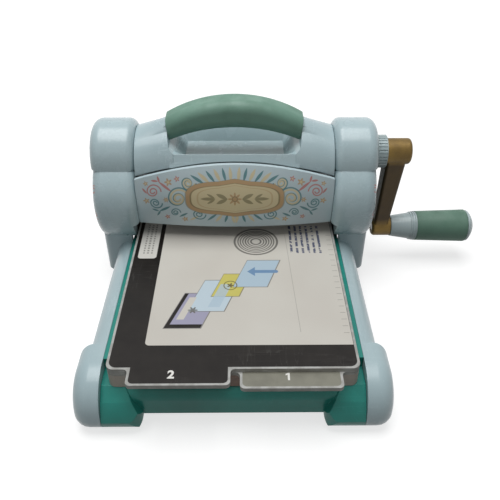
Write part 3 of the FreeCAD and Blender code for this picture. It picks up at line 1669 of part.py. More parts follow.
# Check every piece, then write it
doc.recompute()
for item in doc.Objects:
    if {"Invalid", "Error"} & set(item.State):
        raise ValueError(f"{item.Label} failed: {item.State}")
os.makedirs("parts", exist_ok=True)
for label, piece in nodes.items():
    shape = piece.Shape
    if shape.isNull() or not shape.isValid() or not shape.Solids:
        raise ValueError(f"{label} has no valid solid")
    shape.exportStep(f"parts/{label}.step")
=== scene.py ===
import math

import bpy
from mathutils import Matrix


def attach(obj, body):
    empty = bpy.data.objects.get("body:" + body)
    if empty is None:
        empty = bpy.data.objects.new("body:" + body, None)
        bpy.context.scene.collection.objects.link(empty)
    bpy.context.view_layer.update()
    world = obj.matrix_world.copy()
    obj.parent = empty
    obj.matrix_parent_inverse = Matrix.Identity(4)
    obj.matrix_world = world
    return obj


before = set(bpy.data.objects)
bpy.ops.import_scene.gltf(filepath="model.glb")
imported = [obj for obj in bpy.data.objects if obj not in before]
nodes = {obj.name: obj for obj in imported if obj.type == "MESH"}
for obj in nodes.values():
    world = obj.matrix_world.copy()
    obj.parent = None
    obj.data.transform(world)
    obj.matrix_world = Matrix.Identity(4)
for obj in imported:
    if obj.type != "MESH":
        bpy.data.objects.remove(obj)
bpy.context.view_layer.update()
bpy.ops.object.select_all(action="DESELECT")

# The studio: a plain white table and surround, one wide soft lamp overhead and a smaller one from the
# front left. Table and surround show as white to the camera and in gloss, and light the machine much less
# than that. The table glows a little less under the overhead lamp, so that the machine's shadow stays.
camera_data = bpy.data.cameras.new("camera")
camera_data.lens = 42.2
camera_data.sensor_width = 36.0
camera = bpy.data.objects.new("camera", camera_data)
camera.location = (0.0072, -0.4124, 0.3191)
camera.rotation_euler = (math.radians(52.8), math.radians(-0.16), math.radians(-0.54))
bpy.context.collection.objects.link(camera)
scene = bpy.context.scene
scene.camera = camera
scene.view_settings.view_transform = "Standard"


class Wire:
    """A value in a material's node tree. Arithmetic on it adds Math nodes."""

    def __init__(self, tree, socket=None):
        self.tree = tree
        self.socket = socket

    def add(self, kind, inputs=None, output=0, stops=None, **settings):
        """Any other node: its settings, then the values or links of its sockets."""
        node = self.tree.nodes.new(kind)
        for name, value in settings.items():
            setattr(node, name, value)
        if stops:
            ramp = node.color_ramp
            for index, (place, colour) in enumerate(stops):
                stop = ramp.elements[index] if index < 2 else ramp.elements.new(place)
                stop.position = place
                stop.color = colour
        for key, value in (inputs or {}).items():
            self.feed(node.inputs[key], value)
        return Wire(self.tree, node.outputs[output])

    def feed(self, socket, value):
        if isinstance(value, Wire):
            self.tree.links.new(value.socket, socket)
        else:
            socket.default_value = value

    def work(self, operation, *values, clamp=False):
        return self.add("ShaderNodeMath", dict(enumerate(values)), operation=operation, use_clamp=clamp)

    def __add__(self, other):
        return self.work("ADD", self, other)

    def __radd__(self, other):
        return self.work("ADD", other, self)

    def __sub__(self, other):
        return self.work("SUBTRACT", self, other)

    def __rsub__(self, other):
        return self.work("SUBTRACT", other, self)

    def __mul__(self, other):
        return self.work("MULTIPLY", self, other)

    def __rmul__(self, other):
        return self.work("MULTIPLY", other, self)

    def __truediv__(self, other):
        return self.work("DIVIDE", self, other)

    def __pow__(self, other):
        return self.work("POWER", self, other)

    def __abs__(self):
        return self.work("ABSOLUTE", self)

    def root(self):
        return self.work("SQRT", self)

    def part(self):
        """What is left of it above the whole number below."""
        return self.work("FRACT", self)

    def least(self, other):
        return self.work("MINIMUM", self, other)

    def most(self, other):
        return self.work("MAXIMUM", self, other)

    def unit(self):
        """Held between 0 and 1."""
        return self.work("ADD", self, 0.0, clamp=True)


def linear(red, green, blue):
    """A colour as it is read off a screen, 0 to 255, in the linear values that a shader takes."""
    def one(value):
        value = value / 255
        return value / 12.92 if value <= 0.04045 else ((value + 0.055) / 1.055) ** 2.4
    return (one(red), one(green), one(blue), 1.0)


def mixed(first, second, share):
    """Two colours blended by a share; either may be a wire or plain."""
    node = share.tree.nodes.new("ShaderNodeMix")
    node.data_type = "RGBA"
    share.feed(node.inputs["Factor"], share)
    share.feed(node.inputs[6], first)
    share.feed(node.inputs[7], second)
    return Wire(share.tree, node.outputs[2])


def new_finish(name):
    """An empty material with one surface shader; gives the material, the shader and a wire to start from."""
    material = bpy.data.materials.new(name)
    material.use_nodes = True
    tree = material.node_tree
    shader = tree.nodes["Principled BSDF"]
    return material, shader, Wire(tree)


def grey(value):
    """A grey of this linear value."""
    return (value, value, value, 1.0)


def seen_straight(wire):
    """1 where the camera sees a thing, straight or in gloss or glass, and 0 where it only gives light."""
    path = wire.tree.nodes.new("ShaderNodeLightPath")
    camera_ray, glossy, through = (
        Wire(wire.tree, path.outputs[ray])
        for ray in ("Is Camera Ray", "Is Glossy Ray", "Is Transmission Ray")
    )
    return (camera_ray + glossy + through).unit()


surround = bpy.data.worlds.new("surround")
scene.world = surround
surround.use_nodes = True
sky = Wire(surround.node_tree)
background = surround.node_tree.nodes["Background"]
background.inputs["Color"].default_value = grey(1.0)
surround_light = 0.22
sky.feed(background.inputs["Strength"], surround_light + (1.0 - surround_light) * seen_straight(sky))

bpy.ops.mesh.primitive_plane_add(size=12, location=(0, 0, 0))
table = bpy.context.object
table.name = "table"
material, shader, wire = new_finish("table_white")
seen = seen_straight(wire)
wire.feed(shader.inputs["Base Color"], mixed(grey(0.15), grey(0.44), seen))
shader.inputs["Roughness"].default_value = 0.9
shader.inputs["Specular IOR Level"].default_value = 0.0
spot = wire.add("ShaderNodeTexCoord", output=3)
reach = wire.add("ShaderNodeVectorMath", {0: spot}, 1, operation="LENGTH")
distant = wire.add("ShaderNodeMapRange", {"Value": reach, "From Min": 0.4, "From Max": 1.8})
glow = mixed(grey(0.7), grey(1.0), distant)
wire.feed(shader.inputs["Emission Color"], mixed(grey(0.0), glow, seen))
shader.inputs["Emission Strength"].default_value = 1.0
table.data.materials.append(material)

for name, place, size, power, turn in (
    ("overhead_lamp", (-0.1, 0.05, 1.5), 1.1, 18.5, (0.0, -3.0, 0.0)),
    ("left_lamp", (-0.9, -1.3, 1.0), 0.7, 0.8, None),
):
    lamp_data = bpy.data.lights.new(name, "AREA")
    lamp_data.shape = "SQUARE"
    lamp_data.size = size
    lamp_data.energy = power
    lamp = bpy.data.objects.new(name, lamp_data)
    lamp.location = place
    lamp.rotation_euler = [math.radians(angle) for angle in turn] if turn else \
        (-lamp.location).to_track_quat("-Z", "Y").to_euler()
    bpy.context.collection.objects.link(lamp)


# Base tray: the injection-moulded teal tray with its cross bars at front and back and the inner halves of
# the feet. A satin moulding with a faint flow pattern, fine grain and a few scuffs, a little grimy low down.
def surface(wire):
    """Object coordinates in millimetres, as a vector and as its three parts."""
    spot = wire.add("ShaderNodeTexCoord", output=3)
    spot = wire.add("ShaderNodeVectorMath", {0: spot, 1: (1000.0, 1000.0, 1000.0)}, operation="MULTIPLY")
    split = wire.tree.nodes.new("ShaderNodeSeparateXYZ")
    wire.feed(split.inputs[0], spot)
    return spot, [Wire(wire.tree, output) for output in split.outputs]


def cloud(spot, size, detail=2.0, rough=0.5):
    """Soft noise from 0 to 1 whose blots are about this many millimetres across."""
    return spot.add("ShaderNodeTexNoise",
                    {"Vector": spot, "Scale": 1.0 / size, "Detail": detail, "Roughness": rough})


def ramped(value, low, high):
    """0 below low, 1 above high, and a straight rise between them."""
    return value.add("ShaderNodeMapRange", {"Value": value, "From Min": low, "From Max": high})


def stretched(spot, x, y, z):
    """The coordinates pulled out, so that noise on them is drawn into streaks."""
    return spot.add("ShaderNodeVectorMath", {0: spot, 1: (x, y, z)}, operation="MULTIPLY")


def bumped(shader, wire, height, strength, distance=0.0003, smooth=None):
    """Feeds a height to the shader's normal."""
    inputs = {"Height": height, "Strength": strength, "Distance": distance}
    if smooth is not None:
        inputs["Normal"] = smooth
    wire.feed(shader.inputs["Normal"], wire.add("ShaderNodeBump", inputs))


def scuffs(spot, size):
    """A few thin scratches, lying two ways, as a mask."""
    one = cloud(stretched(spot, 0.08, 1.3, 0.7), size, 3.0)
    two = cloud(stretched(spot, 1.1, 0.1, 0.5), size * 1.3, 3.0)
    place = ramped(cloud(spot, size * 9), 0.52, 0.66)
    return (ramped(abs(one - 0.5), 0.012, 0.0) + ramped(abs(two - 0.52), 0.01, 0.0)).unit() * place


def moulded(name, colour, deep, pale, roughness, grain=0.12, bevel=0.5, coat=0.15):
    """A satin moulding: its colour clouded and speckled a little, scuffed, and grimy low down."""
    material, shader, wire = new_finish(name)
    spot, (x, y, z) = surface(wire)
    flow = cloud(stretched(spot, 1.0, 0.5, 0.8), 46.0, 3.0)
    skin = mixed(deep, colour, ramped(flow, 0.30, 0.56))
    specks = cloud(spot, 1.1, 2.0)
    skin = mixed(skin, pale, ramped(specks, 0.60, 0.82) * 0.25)
    marks = scuffs(spot, 7.0)
    skin = mixed(skin, pale, marks * 0.35)
    grime = ramped(cloud(spot, 14.0, 4.0), 0.58, 0.8) * ramped(z, 60.0, 10.0)
    skin = mixed(skin, deep, grime * 0.5)
    wire.feed(shader.inputs["Base Color"], skin)
    gloss = roughness + 0.10 * (cloud(spot, 9.0, 3.0) - 0.5) + 0.16 * marks
    wire.feed(shader.inputs["Roughness"], gloss.unit())
    shader.inputs["Coat Weight"].default_value = coat
    shader.inputs["Coat Roughness"].default_value = 0.22
    shader.inputs["IOR"].default_value = 1.48
    height = cloud(spot, 0.8, 1.0) * 0.6 + cloud(spot, 6.0, 2.0) * 0.8 - marks * 0.3
    soft_edge = wire.add("ShaderNodeBevel", {"Radius": bevel / 1000}, samples=4)
    bumped(shader, wire, height, grain, 0.0003, soft_edge)
    return material, shader, wire, spot, (x, y, z), skin


def dress(material, *names):
    """Gives CAD nodes their finish."""
    for name in names:
        slots = nodes[name].data.materials
        for index in range(len(slots)):
            slots[index] = material


teal = linear(36, 136, 125)
teal_deep = linear(29, 117, 107)
teal_pale = linear(74, 156, 146)
material, shader = moulded("teal_moulding", teal, teal_deep, teal_pale, 0.32, coat=0.05)[:2]
shader.inputs["Specular IOR Level"].default_value = 0.32
dress(material, "base_tray")


# Side rails: pale blue mouldings over the tray's edges, which end in the outer halves of the feet and rise
# in the middle into the roots of the towers. The same satin plastic as the towers, screwed on from below.
blue = linear(170, 191, 196)
blue_deep = linear(158, 180, 186)
blue_pale = linear(204, 220, 223)
material = moulded("rail_blue_moulding", blue, blue_deep, blue_pale, 0.30)[0]
dress(material, "left_side_rail", "right_side_rail")


# Tower covers: one pale blue moulding on each side, a round crown over a wider lobe, glossy where the
# mould was polished. Small flowers, stalks and scrolls are printed on their outer flanks in coral, tan and
# sea green, and stop where the flank turns over to the front.
def away(across, up, centre_across, centre_up):
    """The distance of a spot from a point on the face."""
    u = across - centre_across
    v = up - centre_up
    return (u * u + v * v).root()


def blossom(across, up, centre_across, centre_up, size, petals=5):
    """The mask of a small flower with round petals."""
    u = across - centre_across
    v = up - centre_up
    angle = u.work("ARCTAN2", v, u)
    wave = u.work("COSINE", angle * petals)
    reach = (u * u + v * v).root()
    return ramped(reach - size * (0.72 + 0.28 * wave), 0.25, -0.25)


def heading(start, end):
    """The distance from start to end, and the direction."""
    length = math.dist(start, end)
    return length, ((end[0] - start[0]) / length, (end[1] - start[1]) / length)


def line(across, up, start, end, half_width):
    """The mask of a straight stroke with round ends."""
    length, along = heading(start, end)
    u = across - start[0]
    v = up - start[1]
    run = (u * along[0] + v * along[1]).most(0.0).least(length)
    gap_u = u - run * along[0]
    gap_v = v - run * along[1]
    return ramped((gap_u * gap_u + gap_v * gap_v).root(), half_width + 0.2, half_width - 0.2)


def arc(across, up, centre, radius, half_width, keep=None):
    """The mask of a ring, or of the part of it where keep is 1."""
    ring = ramped(abs(away(across, up, *centre) - radius), half_width + 0.2, half_width - 0.2)
    return ring * keep if keep is not None else ring


def half_ring(across, up, centre, radius, half_width, facing):
    """The half of a ring on the side that it faces, 1 for the upper and -1 for the lower half."""
    v = up - centre[1]
    return arc(across, up, centre, radius, half_width, ramped(v * facing, -0.15, 0.15))


def scroll(skin, across, up, centre, radius, facing, tint, width, turns=4):
    """A scroll of half rings, each smaller than the last, laid over the colours so far."""
    middle = centre[0]
    way = 1.0
    for turn in range(turns):
        mask = half_ring(across, up, (middle, centre[1]), radius, width, facing)
        skin = mixed(skin, tint, mask * 0.9)
        smaller = radius * 0.68
        middle += (radius - smaller) * way
        way = -way
        radius = smaller
        facing = -facing
    return skin


coral = linear(178, 106, 100)
tan = linear(178, 146, 104)
sea = linear(74, 128, 132)
material, shader, wire, spot, (x, y, z), skin = moulded(
    "tower_blue_moulding", blue, blue_deep, blue_pale, 0.27, bevel=0.8, coat=0.25)
flank_start = 104.0
flank_full = 105.5
bare = skin
for centre, size, tint, petals in (
    ((-24.0, 60.0), 3.4, coral, 5), ((-14.0, 71.0), 2.6, tan, 6), ((-29.0, 78.0), 2.4, tan, 5),
    ((4.0, 62.0), 3.0, tan, 5), ((-20.0, 95.0), 2.6, coral, 6), ((18.0, 74.0), 3.2, coral, 5),
    ((27.0, 60.0), 2.4, tan, 6), ((14.0, 96.0), 2.4, tan, 5),
):
    skin = mixed(skin, tint, blossom(y, z, *centre, size, petals) * 0.8)
    skin = mixed(skin, blue_pale, ramped(away(y, z, *centre), size * 0.34, size * 0.2))
for start, end, tint in (
    ((-22.0, 63.0), (-15.0, 69.0), coral), ((-15.0, 74.0), (-27.0, 76.0), sea),
    ((6.0, 64.0), (16.0, 72.0), coral), ((-20.0, 91.0), (-16.0, 82.0), sea),
    ((14.0, 92.0), (16.0, 84.0), sea),
):
    skin = mixed(skin, tint, line(y, z, start, end, 0.5) * 0.75)
for centre, radius, facing, tint in (
    ((-35.0, 89.0), 3.6, 1, coral), ((-38.0, 70.0), 4.2, -1, coral), ((-33.0, 57.0), 3.0, 1, tan),
    ((32.0, 88.0), 3.2, 1, sea), ((37.0, 68.0), 4.0, -1, coral),
):
    skin = scroll(skin, y, z, centre, radius, facing, tint, 0.5, turns=3)
skin = mixed(bare, skin, ramped(abs(x), flank_start, flank_full))
wire.feed(shader.inputs["Base Color"], skin)
dress(material, "left_tower_cover", "right_tower_cover")


# Upper housing: the pale blue arched cover between the towers, with the trough for a hand under the grip.
# A polished moulding like the towers, with a little dust in the floor of the trough.
material, shader, wire, spot, (x, y, z), skin = moulded(
    "housing_blue_moulding", blue, blue_deep, blue_pale, 0.26, bevel=0.8, coat=0.25)
dust = ramped(cloud(spot, 5.0, 4.0), 0.5, 0.75) * ramped(z, 108.0, 99.0)
wire.feed(shader.inputs["Base Color"], mixed(skin, linear(150, 160, 158), dust * 0.35))
dress(material, "upper_housing")


# Handle grip: a sage green soft rubber sleeve moulded over the housing's core, matt and slightly dusty on
# its crest, where hands have rubbed it a little smoother.
def soft_touch(name, colour, deep, pale, top):
    """Matt rubber with a fine stipple, paler where it is rubbed."""
    material, shader, wire = new_finish(name)
    spot, (x, y, z) = surface(wire)
    skin = mixed(deep, colour, ramped(cloud(spot, 22.0, 3.0), 0.32, 0.6))
    stipple = cloud(spot, 0.55, 1.0)
    skin = mixed(skin, pale, ramped(stipple, 0.56, 0.8) * 0.3)
    rubbed = ramped(z, top - 12.0, top) * ramped(cloud(spot, 12.0, 4.0), 0.4, 0.62)
    skin = mixed(skin, pale, rubbed * 0.4)
    wire.feed(shader.inputs["Base Color"], skin)
    wire.feed(shader.inputs["Roughness"], (0.58 - 0.10 * rubbed + 0.10 * (stipple - 0.5)).unit())
    soft_edge = wire.add("ShaderNodeBevel", {"Radius": 0.0008}, samples=4)
    bumped(shader, wire, stipple * 0.7 + cloud(spot, 3.5, 2.0) * 0.5, 0.22, 0.0004, soft_edge)
    return material


sage = linear(104, 142, 126)
sage_deep = linear(92, 128, 112)
sage_pale = linear(128, 164, 148)
dress(soft_touch("sage_grip_rubber", sage, sage_deep, sage_pale, top=146.0), "handle_grip")


# Front panel: the curved pale blue panel that closes the machine over the feed mouth. A cream plate with a
# tan border is printed in its middle, between a fan of petals, scrolls, leaves and small flowers. The print
# is the same to left and right of the middle.
def leaf(across, up, start, end, half_width):
    """The mask of a pointed leaf from its stem to its tip."""
    length, along = heading(start, end)
    u = across - start[0]
    v = up - start[1]
    run = (u * along[0] + v * along[1]) / length
    off = abs(v * along[0] - u * along[1])
    swell = run * (1.0 - run) * (4.0 * half_width)
    return ramped(off - swell, 0.12, -0.12) * ramped(run, -0.02, 0.02) * ramped(run, 1.02, 0.98)


# painted light: the panel's blues are a paler copy of the towers' plastic, standing in for light on it
material, shader, wire, spot, (x, y, z), skin = moulded(
    "panel_blue_moulding", linear(186, 203, 208), linear(176, 194, 200), blue_pale, 0.30, coat=0.2)
side = abs(x)
plate_height = 83.0
cream_ink = linear(204, 190, 150)
olive = linear(112, 104, 66)
deep_sea = linear(58, 116, 122)
bare = skin
# a fan of petals over and under the plate, and leaves beside it
for start, end, tint, width in (
    ((2.6, 96.0), (3.6, 106.5), cream_ink, 1.3), ((6.5, 96.0), (9.2, 106.0), deep_sea, 1.1),
    ((10.5, 96.0), (15.5, 105.2), cream_ink, 1.3), ((14.5, 95.5), (21.5, 104.0), deep_sea, 1.1),
    ((18.5, 95.0), (27.5, 102.8), cream_ink, 1.3), ((22.5, 94.5), (33.0, 101.0), deep_sea, 1.1),
    ((2.2, 70.0), (0.6, 61.0), cream_ink, 1.2), ((5.5, 70.0), (8.0, 61.8), deep_sea, 1.0),
    ((9.5, 70.0), (15.0, 62.5), cream_ink, 1.2), ((13.5, 70.5), (21.5, 63.6), deep_sea, 1.0),
    ((47.0, 88.0), (57.0, 96.0), coral, 1.0), ((57.0, 96.0), (62.5, 96.5), coral, 0.8),
    ((56.0, 95.0), (57.5, 100.0), coral, 0.8), ((66.0, 86.0), (69.5, 90.5), coral, 0.8),
    ((49.0, 76.0), (58.0, 71.0), deep_sea, 1.0), ((58.0, 71.0), (63.5, 73.0), deep_sea, 0.8),
    ((57.0, 71.5), (60.0, 66.5), deep_sea, 0.8), ((36.0, 70.5), (43.0, 66.5), deep_sea, 0.9),
    ((28.0, 67.5), (35.0, 63.5), cream_ink, 0.9),
):
    skin = mixed(skin, tint, leaf(side, z, start, end, width) * 0.9)
# scrolls, and flowers with pale hearts
for centre, radius, facing, tint, width in (
    ((41.5, plate_height), 8.4, 1, deep_sea, 0.55), ((41.5, plate_height), 6.9, 1, cream_ink, 0.75),
    ((34.0, 95.0), 5.2, -1, deep_sea, 0.5), ((34.0, 95.0), 4.1, -1, cream_ink, 0.55),
    ((60.5, 88.0), 5.2, 1, coral, 0.5), ((59.5, 78.5), 4.4, -1, deep_sea, 0.5),
    ((27.0, 69.5), 4.6, -1, deep_sea, 0.5), ((45.0, 70.5), 3.4, 1, deep_sea, 0.45),
):
    skin = scroll(skin, side, z, centre, radius, facing, tint, width)
for centre, size, tint, petals in (
    ((49.5, 95.5), 3.0, tan, 5), ((43.0, 98.0), 2.2, coral, 5), ((67.0, 80.0), 2.6, tan, 5),
    ((52.0, 81.5), 2.3, tan, 6), ((38.5, 64.5), 2.5, tan, 5), ((52.0, 66.0), 2.2, coral, 5),
    ((66.5, 94.0), 2.0, tan, 5),
):
    skin = mixed(skin, tint, blossom(side, z, *centre, size, petals) * 0.9)
    skin = mixed(skin, cream_ink, ramped(away(side, z, *centre), size * 0.36, size * 0.2))
# the plate, a rounded oblong raised in the middle, with a border, a fine inner line and a sprig each side
lift = ramped(side, 12.0, 0.0) * 1.8
rise = (abs(z - plate_height) - lift).most(0.0)
squareness = 3.2
plate = (side / 33.0) ** squareness + (rise / 10.2) ** squareness
halo = (side / 37.0) ** squareness + (rise / 13.4) ** squareness
skin = mixed(skin, olive, ramped(halo, 1.10, 1.02) * 0.7)
skin = mixed(skin, tan, ramped(halo, 1.01, 0.97))
skin = mixed(skin, olive, ramped(plate, 1.16, 1.06) * 0.8)
skin = mixed(skin, cream_ink, ramped(plate, 1.02, 0.96))
skin = mixed(skin, tan, ramped(abs(plate - 0.6), 0.06, 0.02) * 0.55)
for start, end, width in (
    ((5.5, 83.0), (14.0, 87.0), 1.5), ((5.5, 83.0), (14.0, 79.0), 1.5), ((14.5, 83.0), (26.0, 83.0), 1.3),
    ((15.0, 83.5), (21.0, 87.0), 0.9), ((15.0, 82.5), (21.0, 79.0), 0.9),
):
    skin = mixed(skin, olive, leaf(side, z, start, end, width) * 0.75)
skin = mixed(skin, tan, blossom(side, z, 0.0, plate_height, 5.2, petals=8))
skin = mixed(skin, olive, ramped(abs(away(side, z, 0.0, plate_height) - 1.9), 0.45, 0.15) * 0.8)
# the print stays on the panel's front face
skin = mixed(bare, skin, ramped(y, -20.0, -24.0))
wire.feed(shader.inputs["Base Color"], skin)
dress(material, "front_panel")


# Rear panel: the same curved satin panel at the back, without print. It stands between the towers below
# the arched seam, as the front one does.
material = moulded("rear_panel_moulding", linear(174, 193, 197), blue_deep, blue_pale, 0.30, coat=0.2)[0]
dress(material, "rear_panel")


# Platform board: the thick plastic slab at the bottom of the stack, matt, with fine flow lines along
# it. Its two long edges and corners are pale beige, and its middle is painted a darker brown as shade.
material, shader, wire = new_finish("board_plastic")
spot, (x, y, z) = surface(wire)
flow = cloud(stretched(spot, 1.0, 0.06, 1.4), 5.0, 4.0)
shade_brown = mixed(linear(104, 84, 74), linear(128, 106, 94), ramped(flow, 0.35, 0.65))
beige = mixed(linear(164, 154, 144), linear(182, 173, 163), flow)
# painted shade: the middle of the board is darker brown, and the edges keep the pale beige
skin = mixed(shade_brown, beige, ramped(abs(x), 55.0, 62.0))
skin = mixed(skin, linear(172, 164, 152), ramped(cloud(spot, 1.2, 3.0), 0.62, 0.8) * 0.4)
wire.feed(shader.inputs["Base Color"], skin)
wire.feed(shader.inputs["Roughness"], 0.5 + 0.2 * flow)
bumped(shader, wire, flow * 0.6 + cloud(spot, 0.7, 2.0) * 0.6, 0.3, 0.0004)
dress(material, "platform_board")


# Leaf 1: the thin lower leaf of the stack, a plain grey print under a clear skin that shows as a rim round
# it. It turns on the steel pin at the back, which it shares with the other leaf.
def rounded_box(across, along, half_across, half_along, corner):
    """The mask of a rectangle with round corners about the middle."""
    u = (abs(across) - (half_across - corner)).most(0.0)
    v = (abs(along) - (half_along - corner)).most(0.0)
    return ramped((u * u + v * v).root(), corner + 0.15, corner - 0.15)


def printed_sheet(x, y, tab_centre):
    """The mask of a leaf's outline with its tab, drawn in by the width of the clear rim."""
    rim_width = 1.5
    leaf_half_width = 77.8
    tab_half_width = 31.2
    sheet = rounded_box(x, y - 40.0, leaf_half_width - rim_width, 213.0 - rim_width, 5.0)
    tab = rounded_box(x - tab_centre, y + 165.5, tab_half_width - rim_width, 20.0 - rim_width, 3.0)
    return sheet.most(tab)


def clear_edge(name, tab_centre, top, face):
    """A printed sheet inside a clear rim; face draws the print and gives its colour and roughness."""
    material, shader, wire = new_finish(name)
    spot, (x, y, z) = surface(wire)
    upper = ramped(z, top - 0.25, top - 0.1)
    rim = mixed(linear(160, 160, 156), linear(182, 183, 180), ramped(cloud(spot, 5.0, 3.0), 0.4, 0.6))
    layers = ramped(cloud(stretched(spot, 0.1, 0.1, 2.0), 1.4), 0.3, 0.7)
    rim = mixed(rim, linear(140, 138, 130), (1.0 - upper) * layers)
    print_colour, gloss = face(spot, x, y)
    scratch = scuffs(spot, 5.0)
    skin = mixed(rim, print_colour, printed_sheet(x, y, tab_centre) * upper)
    skin = mixed(skin, linear(190, 188, 182), scratch * 0.04)
    wire.feed(shader.inputs["Base Color"], skin)
    gloss = gloss + 0.18 * scratch + 0.1 * (cloud(spot, 8.0, 3.0) - 0.5)
    wire.feed(shader.inputs["Roughness"], gloss.unit())
    shader.inputs["Specular IOR Level"].default_value = 0.22
    waves = cloud(spot, 1.0, 2.0) * 0.5 + cloud(spot, 12.0, 2.0)
    bumped(shader, wire, waves - 0.4 * scratch, 0.08, 0.0003)
    return material


def grey_face(spot, x, y):
    """A plain warm grey print, faintly mottled."""
    mottle = ramped(cloud(spot, 11.0, 3.0), 0.35, 0.65)
    return mixed(linear(134, 133, 121), linear(122, 121, 110), mottle), 0.42


tab_1_centre = 35.3
leaf_1_top = 43.9
dress(clear_edge("grey_leaf_print", tab_1_centre, leaf_1_top, grey_face), "leaf_1")


# Leaf 2: the top leaf of the stack. Under its clear skin it is printed black along the left and the front
# edge and on the tab, and cream in the field, with a guide of plates, rings and rules for laying a stack.
def box_mask(across, along, left, right, low, high):
    """The mask of a rectangle on the face."""
    soft = 0.15
    sideways = ramped(across, left - soft, left + soft) * ramped(across, right + soft, right - soft)
    return sideways * ramped(along, low - soft, low + soft) * ramped(along, high + soft, high - soft)


def leaning(x, y, corner, left, right, low, high):
    """The mask of a plate in slant view, a rectangle whose far side is shifted, measured from its corner."""
    lean = 0.34
    across = x - corner[0]
    along = y - corner[1]
    return box_mask(across - (along - low) * lean, along, left, right, low, high)


def guide_face(spot, x, y):
    """The cream field, the black bands and the guide drawn on the field."""
    ink = mixed(linear(24, 20, 18), linear(31, 27, 24), ramped(cloud(spot, 16.0, 4.0), 0.35, 0.65))
    cream = mixed(linear(198, 194, 186), linear(203, 200, 192), ramped(cloud(spot, 40.0, 1.0), 0.3, 0.7))
    left, front, right, corner = -56.2, -153.4, 76.05, 3.0
    u = (left + corner - x).most(0.0)
    v = (front + corner - y).most(0.0)
    field = ramped((u * u + v * v).root(), corner + 0.15, corner - 0.15)
    field = field * ramped(x, left - 0.15, left + 0.15) * ramped(x, right + 0.15, right - 0.15)
    field = field * ramped(y, front - 0.15, front + 0.15)
    colour = mixed(ink, cream, field)
    lavender = linear(158, 156, 178)
    sky_blue = linear(172, 192, 206)
    pale_blue = linear(188, 204, 214)
    yellow = linear(198, 190, 104)
    arrow_blue = linear(110, 142, 176)
    grey_ink = linear(104, 102, 98)
    # a stack laid out in slant view, each plate further up and to the right: slab, plate, die and plate
    slab = (-46.0, -138.0)
    plate = (-32.0, -122.0)
    die = (-16.0, -107.0)
    top_plate = (-1.0, -97.0)
    for place, wide, high, tint, edge in (
        (slab, 24.0, 34.0, lavender, grey_ink), (plate, 25.0, 32.0, pale_blue, grey_ink),
        (die, 19.0, 24.0, yellow, olive), (top_plate, 24.0, 30.0, sky_blue, grey_ink),
    ):
        outline = leaning(x, y, place, -0.6, wide + 0.6, -0.6, high + 0.6)
        colour = mixed(colour, edge, outline * 0.8)
        colour = mixed(colour, tint, leaning(x, y, place, 0.0, wide, 0.0, high))
    colour = mixed(colour, ink, leaning(x, y, slab, 0.0, 24.0, 0.0, 3.4))
    colour = mixed(colour, ink, leaning(x, y, slab, 0.0, 2.6, 0.0, 34.0))
    colour = mixed(colour, cream, leaning(x, y, slab, 7.5, 12.5, 8.0, 30.0))
    colour = mixed(colour, grey_ink, blossom(x, y, -28.0, -121.0, 3.4, petals=6) * 0.9)
    colour = mixed(colour, sky_blue, leaning(x, y, plate, 14.0, 22.0, 4.0, 28.0) * 0.8)
    figure = (-3.0, -95.5)
    colour = mixed(colour, olive, arc(x, y, figure, 4.6, 0.35))
    colour = mixed(colour, olive, blossom(x, y, *figure, 2.6, petals=5))
    arrow_tip, arrow_neck, arrow_end, arrow_line = 9.0, 14.0, 30.0, -80.0
    shaft = line(x, y, (arrow_neck, arrow_line), (arrow_end, arrow_line), 1.7)
    colour = mixed(colour, arrow_blue, shaft)
    head = ramped(abs(y - arrow_line) * 1.1 - (x - arrow_tip), 0.2, -0.2)
    head = head * ramped(x, arrow_neck + 0.9, arrow_neck + 0.5)
    colour = mixed(colour, arrow_blue, head)
    # a coiled ring near the mouth, and rows of fine strokes beside it
    for radius, width in (
        (3.8, 0.7), (6.2, 0.5), (8.2, 0.6), (10.2, 0.5), (12.2, 0.5), (14.0, 0.5), (16.6, 0.8),
    ):
        colour = mixed(colour, grey_ink, arc(x, y, (16.0, -43.0), radius, width) * 0.9)
    navy = linear(66, 74, 104)
    first_row, last_row, row_pitch = 41.0, 67.4, 4.4
    rows = ramped(abs(((x - first_row) / row_pitch).part() - 0.5), 0.24, 0.18)
    rows = rows * box_mask(x, y, first_row, last_row, -58.0, -22.0)
    broken = ramped(cloud(stretched(spot, 0.5, 1.0, 0.0), 2.6), 0.42, 0.48)
    colour = mixed(colour, navy, rows * broken * 0.9)
    # rule marks a quarter of an inch apart beside the field, and one fine fold line along it
    quarter_inch = 6.35
    rule = ramped(abs((y / quarter_inch).part() - 0.5), 0.035, 0.015)
    rule = rule * box_mask(x, y, 71.4, 75.0, -148.0, -30.0)
    colour = mixed(colour, grey_ink, rule * 0.8)
    colour = mixed(colour, grey_ink, line(x, y, (39.0, -34.0), (43.5, -142.0), 0.12) * 0.6)
    # the white tag in the left band, with three rows of dashes
    tag_across = x + 66.5
    colour = mixed(colour, linear(206, 204, 198), rounded_box(tag_across, y + 37.0, 7.0, 27.0, 2.5))
    middle_row = ramped(abs(tag_across), 0.9, 0.7)
    outer_rows = ramped(abs(abs(tag_across) - 3.0), 0.7, 0.5)
    dashes = ramped(abs((y / 3.1).part() - 0.5), 0.32, 0.28)
    dashes = middle_row.most(outer_rows) * dashes * box_mask(x, y, -73.0, -60.0, -58.0, -20.0)
    colour = mixed(colour, grey_ink, dashes * 0.7)
    return colour, 0.3 + 0.06 * field


tab_2_centre = -32.8
leaf_2_top = 47.0
dress(clear_edge("guide_leaf_print", tab_2_centre, leaf_2_top, guide_face), "leaf_2")


